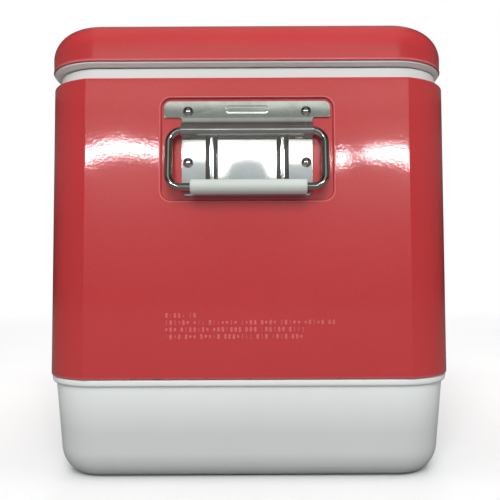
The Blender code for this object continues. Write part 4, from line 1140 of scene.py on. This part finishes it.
# Mirrored windows stand in a plane beyond the camera: name, start and end along Y, radiance, and
# rows of (share of the length, height of the middle, half thickness).
WINDOW_X, WINDOW_STEPS = 2.3, 60
WINDOWS = (
    ("window_left", -0.82, -0.437, 55.0,
     ((0.0, 0.676, 0.028), (0.17, 0.694, 0.029), (0.27, 0.720, 0.025), (0.56, 0.734, 0.024),
      (0.78, 0.724, 0.021), (1.0, 0.712, 0.019))),
    ("window_right", 0.425, 0.72, 55.0,
     ((0.0, 0.696, 0.012), (0.24, 0.702, 0.022), (0.50, 0.704, 0.029), (0.66, 0.696, 0.031),
      (0.80, 0.672, 0.034), (1.0, 0.660, 0.034))),
    ("window_small", 0.309, 0.385, 45.0,
     ((0.0, 0.676, 0.024), (0.5, 0.682, 0.029), (1.0, 0.688, 0.018))),
    ("window_middle", -0.345, 0.295, 2.4,
     ((0.0, 0.714, 0.042), (0.17, 0.714, 0.042), (0.25, 0.678, 0.078), (0.283, 0.680, 0.076),
      (0.345, 0.714, 0.042), (0.4375, 0.719, 0.036), (0.53, 0.714, 0.042), (0.59, 0.680, 0.076),
      (0.633, 0.678, 0.078), (0.72, 0.710, 0.046), (1.0, 0.708, 0.048))))

# The room by the sine of the elevation, dimmed where it is far to either side
ROOM = ((0.0, (0.10, 0.11, 0.12)), (0.09, (0.22, 0.24, 0.25)), (0.150, (0.44, 0.49, 0.52)),
        (0.195, (0.70, 0.75, 0.76)), (0.235, (0.42, 0.45, 0.42)), (0.253, (0.29, 0.31, 0.29)),
        (0.2750, (0.21, 0.23, 0.21)), (0.2790, (0.84, 0.91, 0.84)), (0.300, (0.80, 0.86, 0.80)),
        (0.33, (0.44, 0.46, 0.44)), (0.42, (0.42, 0.44, 0.42)), (0.54, (0.17, 0.18, 0.17)),
        (1.0, (0.13, 0.13, 0.13)))
ROOM_DIM = (("From Min", 0.29), ("From Max", 0.37), ("To Min", 1.0), ("To Max", 0.18))


def add_floor():
    reach = FLOOR_REACH
    mesh = bpy.data.meshes.new("floor")
    mesh.from_pydata([(-reach, -reach, 0), (reach, -reach, 0), (reach, reach, 0), (-reach, reach, 0)],
                     [], [(0, 1, 2, 3)])
    floor = add_object("floor", mesh)
    n = Nodes("floor_paper")
    tone = n.blend(n.levels(n.noise(3.0, 3.0), 0.3, 0.7), (0.95, 0.95, 0.95), (0.93, 0.93, 0.93))
    path = n.add("ShaderNodeLightPath")
    seen = path.outputs["Is Camera Ray"]
    unseen = n.blend(path.outputs["Is Glossy Ray"], FLOOR_BOUNCE, FLOOR_MIRRORED)
    n.surface(Base_Color=n.blend(seen, unseen, tone), Roughness=0.9)
    distance = n.add("ShaderNodeVectorMath", operation="LENGTH")
    n.link(n.place, distance.inputs[0])
    away = n.levels(distance.outputs["Value"], *FLOOR_FADE)
    glow = n.add("ShaderNodeEmission")
    mix = n.add("ShaderNodeMixShader")
    n.link(n.times(away, seen), mix.inputs["Fac"])
    n.link(n.shader.outputs["BSDF"], mix.inputs[1])
    n.link(glow.outputs["Emission"], mix.inputs[2])
    n.link(mix.outputs["Shader"], n.tree.nodes["Material Output"].inputs["Surface"])
    mesh.materials.append(n.material)


def add_fill(name, place, size, radiance):
    """An area light of a stated radiance, unseen by the camera and by reflections."""
    data = bpy.data.lights.new(name, "AREA")
    data.shape, data.size, data.size_y = "RECTANGLE", size[0], size[1]
    data.energy = radiance * math.pi * size[0] * size[1]
    light = add_object(name, data)
    light.location = place
    light.rotation_mode = "QUATERNION"
    light.rotation_quaternion = (Vector(CHEST_MIDDLE) - Vector(place)).to_track_quat("-Z", "Y")
    light.visible_camera = False
    light.visible_glossy = False


def add_window(name, start, end, radiance, shape):
    """A glowing pane that only reflections see, eased from each row of its shape to the next."""
    vertices, faces = [], []
    for step in range(WINDOW_STEPS + 1):
        share = step / WINDOW_STEPS
        for (low_share, low_z, low_half), (high_share, high_z, high_half) in zip(shape, shape[1:]):
            if low_share <= share <= high_share:
                t = (share - low_share) / (high_share - low_share)
                t = t * t * (3 - 2 * t)
                middle, half = low_z + (high_z - low_z) * t, low_half + (high_half - low_half) * t
        y = start + (end - start) * share
        vertices += [(WINDOW_X, y, middle - half), (WINDOW_X, y, middle + half)]
    for step in range(WINDOW_STEPS):
        i = 2 * step
        faces.append((i, i + 1, i + 3, i + 2))
    mesh = bpy.data.meshes.new(name)
    mesh.from_pydata(vertices, [], faces)
    pane = add_object(name, mesh)
    material = bpy.data.materials.new(name)
    material.use_nodes = True
    tree = material.node_tree
    glow = tree.nodes.new("ShaderNodeEmission")
    glow.inputs["Strength"].default_value = radiance
    tree.links.new(glow.outputs["Emission"], tree.nodes["Material Output"].inputs["Surface"])
    mesh.materials.append(material)
    pane.visible_camera = False
    pane.visible_diffuse = False
    pane.visible_shadow = False


def add_world():
    """A dim room with a bright band at window height, and plain white behind the chest."""
    world = bpy.data.worlds.new("studio")
    world.use_nodes = True
    tree = world.node_tree
    room = tree.nodes["Background"]
    place = tree.nodes.new("ShaderNodeTexCoord")
    split = tree.nodes.new("ShaderNodeSeparateXYZ")
    ramp = tree.nodes.new("ShaderNodeValToRGB")
    tree.links.new(place.outputs["Generated"], split.inputs["Vector"])
    tree.links.new(split.outputs["Z"], ramp.inputs["Fac"])
    while len(ramp.color_ramp.elements) < len(ROOM):
        ramp.color_ramp.elements.new(0.5)
    for element, (position, colour) in zip(ramp.color_ramp.elements, ROOM):
        element.position, element.color = position, (*colour, 1.0)
    side = tree.nodes.new("ShaderNodeMath")
    side.operation = "ABSOLUTE"
    tree.links.new(split.outputs["Y"], side.inputs[0])
    dim = tree.nodes.new("ShaderNodeMapRange")
    for key, number in ROOM_DIM:
        dim.inputs[key].default_value = number
    tree.links.new(side.outputs[0], dim.inputs["Value"])
    tree.links.new(ramp.outputs["Color"], room.inputs["Color"])
    tree.links.new(dim.outputs["Result"], room.inputs["Strength"])
    backdrop = tree.nodes.new("ShaderNodeBackground")
    backdrop.inputs["Color"].default_value = (1.0, 1.0, 1.0, 1.0)
    path = tree.nodes.new("ShaderNodeLightPath")
    mix = tree.nodes.new("ShaderNodeMixShader")
    tree.links.new(path.outputs["Is Camera Ray"], mix.inputs["Fac"])
    tree.links.new(room.outputs["Background"], mix.inputs[1])
    tree.links.new(backdrop.outputs["Background"], mix.inputs[2])
    tree.links.new(mix.outputs["Shader"], tree.nodes["World Output"].inputs["Surface"])
    bpy.context.scene.world = world


def add_camera():
    data = bpy.data.cameras.new("camera")
    data.lens = CAMERA_LENS
    data.sensor_width = 36.0
    data.shift_x, data.shift_y = CAMERA_SHIFT
    camera = add_object("camera", data)
    camera.location = CAMERA_PLACE
    facing = Vector((-math.cos(CAMERA_PITCH), 0.0, math.sin(CAMERA_PITCH)))
    camera.rotation_mode = "QUATERNION"
    aim = facing.to_track_quat("-Z", "Y").to_matrix() @ Matrix.Rotation(CAMERA_ROLL, 3, "Z")
    camera.rotation_quaternion = aim.to_quaternion()
    bpy.context.scene.camera = camera


add_floor()
add_world()
add_camera()
for fill in FILLS:
    add_fill(*fill)
for window in WINDOWS:
    add_window(*window)

scene = bpy.context.scene
scene.view_settings.view_transform = "Standard"
